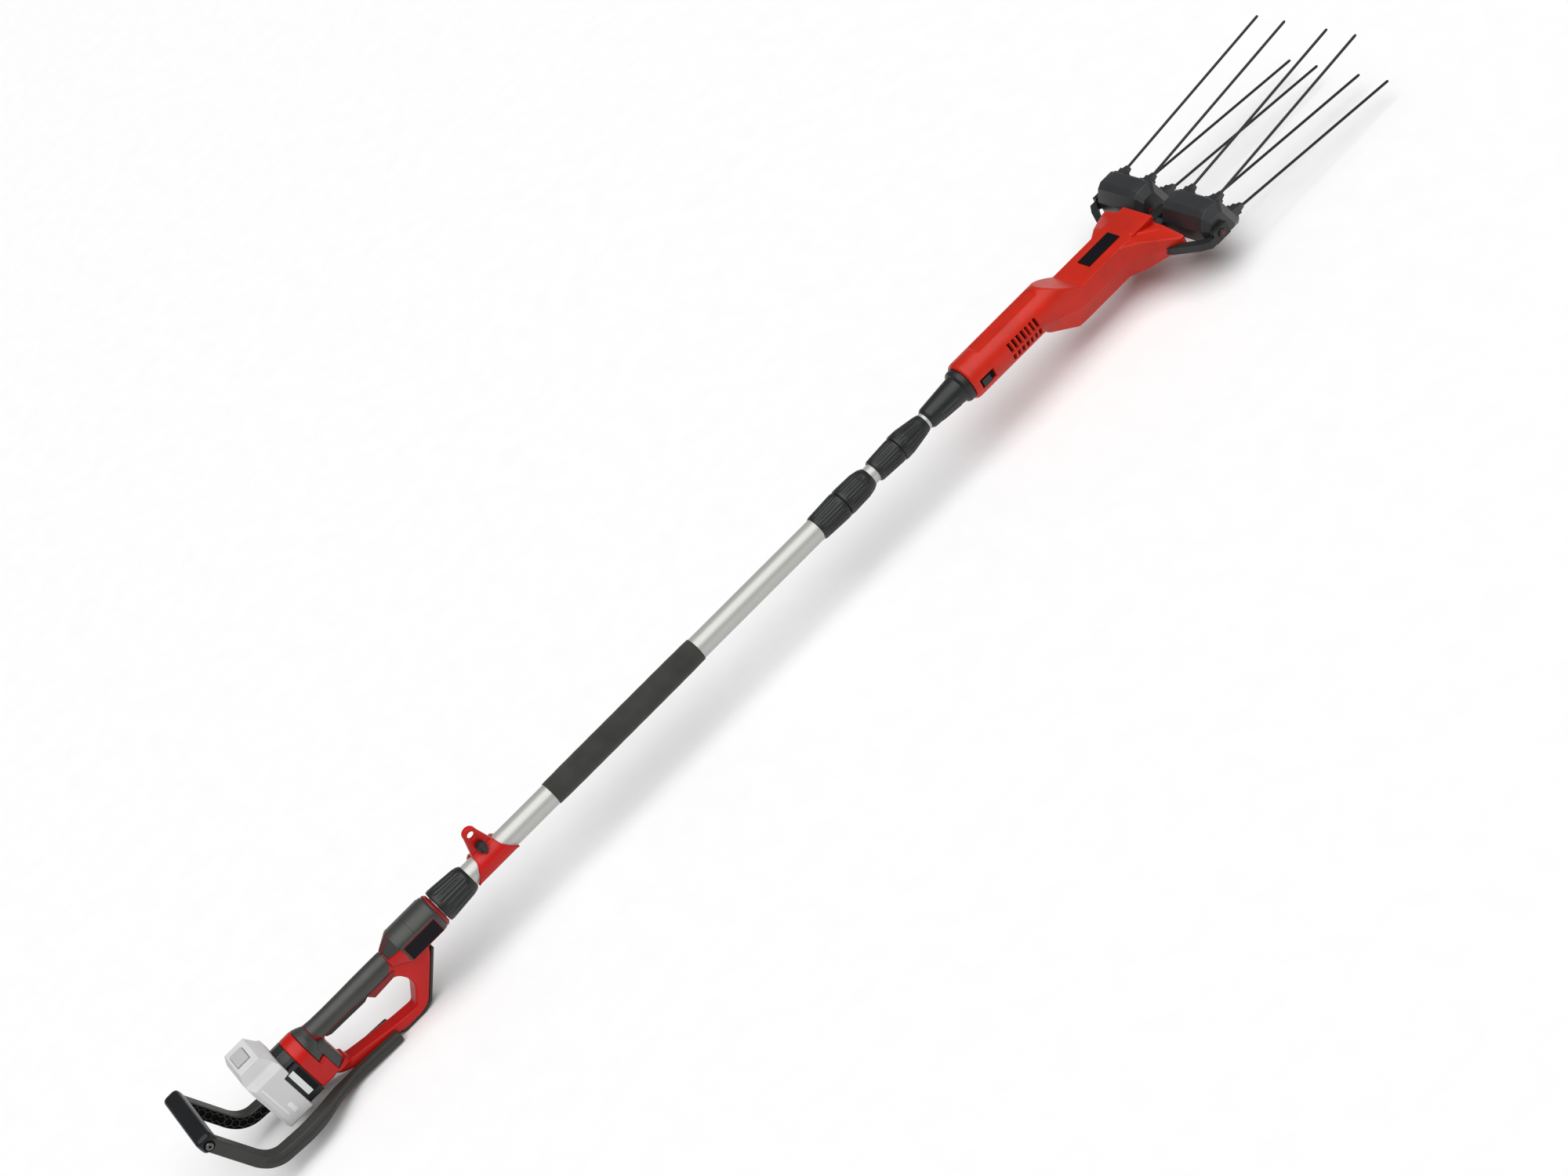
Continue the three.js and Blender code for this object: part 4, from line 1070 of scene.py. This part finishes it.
# %% dotted grip patch
def dotted_patch(name, x_low, x_high, pitch=3.4, dome=0.55):
    """Deck height plus domes; the patch closes underneath with a flat back."""
    x = np.linspace(x_low, x_high, 80)
    share = np.linspace(-1, 1, 160)
    deck = np.interp(x, STOPS, BODY["deck"])[:, None]
    half = np.interp(x, STOPS, BODY["fold"]) - 4.5
    y = share[None, :] * half[:, None]
    row = np.round((x - x_low) / (pitch * 0.866))[:, None]
    near_x = (x[:, None] - x_low) - row * pitch * 0.866
    near_y = (y / pitch - 0.5 * (row % 2))
    near_y = (near_y - np.round(near_y)) * pitch
    rise = dome * np.clip(1 - (near_x ** 2 + near_y ** 2) / (0.36 * pitch) ** 2, 0, 1)
    edge = np.minimum(1 - np.abs(share)[None, :], np.minimum(x - x_low, x_high - x)[:, None] / 20)
    skin = np.stack([np.tile(x[:, None], (1, 160)), y, deck + 0.15 + rise * (edge > 0.03)], -1)
    under = skin.copy()
    under[..., 2] = deck - 0.8
    return from_grid(name, np.concatenate([skin, under[:, ::-1]], 1))


hand_over(dotted_patch("deck_dots", 1817, 1848), HEAD_RED, "front_pole", "red_plastic")

# %% [markdown]
# ## Tines
# A tine is a pultruded rod with a slightly worn, rounded tip. A rod could be turned by a modifier,
# but a short profile along the CAD tine's own direction needs only a few dozen faces.

# %% tines
# How many of a CAD tine's outermost corners are averaged to find the middle of each end.
END_CORNERS = 24


def tine(node):
    """Rings round the line between the CAD tine's two ends, smaller towards the rounded tip."""
    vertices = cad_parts[node].data.vertices
    corners = np.empty(len(vertices) * 3)
    vertices.foreach_get("co", corners)
    corners = corners.reshape(-1, 3)
    order = corners[:, 0].argsort()
    start, end = corners[order[:END_CORNERS]].mean(0), corners[order[-END_CORNERS:]].mean(0)
    along = (end - start) / np.linalg.norm(end - start)
    length = np.linalg.norm(end - start)
    stops = np.array([0, length - 0.003, length - 0.0015, length - 0.0005, length])
    radius = np.array([2.1, 2.1, 1.9, 1.4, 0.7]) * MM
    up = np.cross(along, [0, 1, 0])
    angle = np.linspace(0, 2 * np.pi, 20, endpoint=False)
    ring = np.cos(angle)[:, None] * np.array([0, 1, 0]) + np.sin(angle)[:, None] * up
    grid = start + along * stops[:, None, None] + ring[None] * radius[:, None, None]
    return closed_mesh(node + "_rod", grid, *grid.shape[:2])


for node in [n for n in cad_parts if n.startswith("tine_")]:
    body = "rake_left" if "left" in node else "rake_right"
    hand_over(tine(node), TINE_BLACK, body, "tine_rod", [node])

# %% [markdown]
# A chamfered panel stands a little proud of each rake's crown and back. Its section is the rake's
# own, grown slightly, and it shrinks at both ends so that the end facets face outwards.

# %% rake panels
RAKE_Y = (20, 120)
PIVOT = (1880, -36)
PANEL = np.array([[-19.2, -4], [-19.6, 12], [-10, 30.4], [-1, 36.6], [22, 36.6], [25, 33],
                  [10, 24], [-4, 12], [-12, -4]])


def rake_panel(name, side):
    """The panel's section about the pivot, scaled along Y between the rake's ends."""
    y = np.array([RAKE_Y[0] + 9, RAKE_Y[0] + 22, RAKE_Y[1] - 22, RAKE_Y[1] - 9])
    scale = np.array([0.93, 1.0, 1.0, 0.93])
    section = scale[:, None, None] * PANEL[None]
    rings = np.stack([PIVOT[0] + section[..., 0], np.tile(side * y[:, None], (1, len(PANEL))),
                      PIVOT[1] + section[..., 1]], -1)
    piece = from_grid(name, rings)
    edge = piece.modifiers.new("edge", "BEVEL")
    edge.width, edge.segments = 0.8 * MM, 2
    bake_modifiers(piece)
    soften(piece, 14)
    return piece


for side_name, side in (("left", 1), ("right", -1)):
    panel = rake_panel("rake_panel_" + side_name, side)
    hand_over(panel, RAKE_GREY, "rake_" + side_name, "charcoal_plastic")

# %% [markdown]
# The rakes rock on a black shaft with a cap and a red stud at both ends, and a red collar marks it
# at the inner end of each rake. Stepped profiles turned about Y make all of it.

# %% rocker shaft and studs
AROUND = np.linspace(0, 2 * np.pi, 48, endpoint=False)
CAP = [(128.7, 3.9), (128.8, 6.2), (130.4, 6.2), (131.0, 5.6), (131.1, 4.2)]
shaft_rows = [(-y, r) for y, r in CAP[::-1]] + CAP
shaft = turned_y("shaft_skin", *PIVOT, shaft_rows, AROUND)
hand_over(shaft, BLACK, "front_pole", "steel", ["rocker_shaft"])
for side_name, side in (("left", 1), ("right", -1)):
    stud = [(side * 130.9, 2.8), (side * 131.3, 2.8), (side * 131.5, 2.0)]
    inner = [(side * 17.2, 4.0), (side * 17.4, 5.0), (side * 19.0, 5.0), (side * 19.2, 4.0)]
    for name, rows in (("pivot_stud_", stud), ("inner_stud_", inner)):
        piece = turned_y(name + side_name, *PIVOT, rows, AROUND)
        hand_over(piece, DEEP_RED, "front_pole", "deep_red_plastic")

# %% [markdown]
# ## Parts that stay as the CAD made them
# The hidden mechanics keep their CAD shape and only take a proper finish.

# %% finishes for carried-over nodes
CARRIED = {
    "control_board": BOARD, "trigger_switch": CHARCOAL, "handle_lead": BLACK, "coiled_lead": BLACK,
    "clamp_sleeve": CHARCOAL, "motor": MOTOR_CAN, "motor_pinion": STEEL, "crank_gear": STEEL,
    "bearing_rear": STEEL, "bearing_front": STEEL, "gearbox_plate": CHARCOAL,
}
for node, material in CARRIED.items():
    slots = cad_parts[node].data.materials
    slots.clear()
    slots.append(material)
print("carried over:", len(CARRIED))


# %% [markdown]
# ## Camera, floor and light
# The camera stands to the tool's right, above it, and is rolled so that the pole climbs at 45
# degrees. The head end leans six degrees away from it. Its axes are worked out from those angles.

# %% camera
DISTANCE = 3.4
LEAN = math.radians(6)
RAISED = math.radians(38)
DIAGONAL = math.sqrt(0.5)
AIM_STATION = 729.0
AIM_ACROSS = 0.026
LENS_MM, SENSOR_MM, SHIFT = 56.7, 36.0, 0.12


def aim_camera():
    """Builds the camera's axes from the lean, the roll and the raise, then places it."""
    pole = np.array([math.cos(LEAN) * DIAGONAL, math.cos(LEAN) * DIAGONAL, -math.sin(LEAN)])
    across = np.array([DIAGONAL, -DIAGONAL, 0.0])
    towards = np.cross(pole, -across)
    right_hand = math.cos(RAISED) * towards + math.sin(RAISED) * across
    upward = -math.cos(RAISED) * across + math.sin(RAISED) * towards
    turn = np.stack([pole, -right_hand, upward], 1)
    target = place([AIM_STATION, 0.0, 0.0])
    seen_at = np.array([0, 0, -DISTANCE]) - across * AIM_ACROSS
    location = target - turn.T @ seen_at
    camera = bpy.data.objects.new("camera", bpy.data.cameras.new("camera"))
    bpy.context.scene.collection.objects.link(camera)
    camera.data.lens = LENS_MM
    camera.data.sensor_width = SENSOR_MM
    camera.data.shift_x = SHIFT
    camera.data.shift_y = SHIFT
    whole = Matrix([list(row) + [0] for row in turn.T] + [[0, 0, 0, 1]])
    whole.translation = location
    camera.matrix_world = whole
    bpy.context.scene.camera = camera
    return camera


camera = aim_camera()
print("camera at", [round(v, 2) for v in camera.location])

# %% [markdown]
# A studio floor is a wide sheet of pale paper under one very large soft light. Area lights fall off
# with distance over a tool this long, so a sun with a wide angle stands in: it is soft in the same
# way but lights both ends alike. A weak white world fills the shadows.

# %% floor and light
# Half the floor's width, and how far it lies under the tool, in metres.
REACH, UNDER = 300, -0.0005
WORLD_LIGHT = 0.22
SUN_LIGHT = 2.8
floor = new_object("floor", [(-REACH, -REACH, UNDER), (REACH, -REACH, UNDER), (REACH, REACH, UNDER),
                             (-REACH, REACH, UNDER)], [(0, 1, 2, 3)])
floor.data.materials.append(moulded_plastic("floor_paper", (0.93, 0.93, 0.93), 0.9, spread=0.01))
floor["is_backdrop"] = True
world = bpy.data.worlds.new("studio")
world.use_nodes = True
world.node_tree.nodes["Background"].inputs["Color"].default_value = (1, 1, 1, 1)
world.node_tree.nodes["Background"].inputs["Strength"].default_value = WORLD_LIGHT
bpy.context.scene.world = world
bpy.context.scene.view_settings.view_transform = "Standard"
SOFTNESS = math.radians(72)
TILT = math.radians(16)
softbox = bpy.data.objects.new("softbox", bpy.data.lights.new("softbox", "SUN"))
softbox.data.energy = SUN_LIGHT
softbox.data.angle = SOFTNESS
softbox.rotation_euler = (TILT, 0, 0)
bpy.context.scene.collection.objects.link(softbox)
print("softbox tilted", round(math.degrees(TILT)), "degrees towards the near side")

# %% [markdown]
# Last, the dressed tool's box is measured and printed.

# %% sizes
low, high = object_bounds()
print("visual box", [round(v, 4) for v in low], [round(v, 4) for v in high])
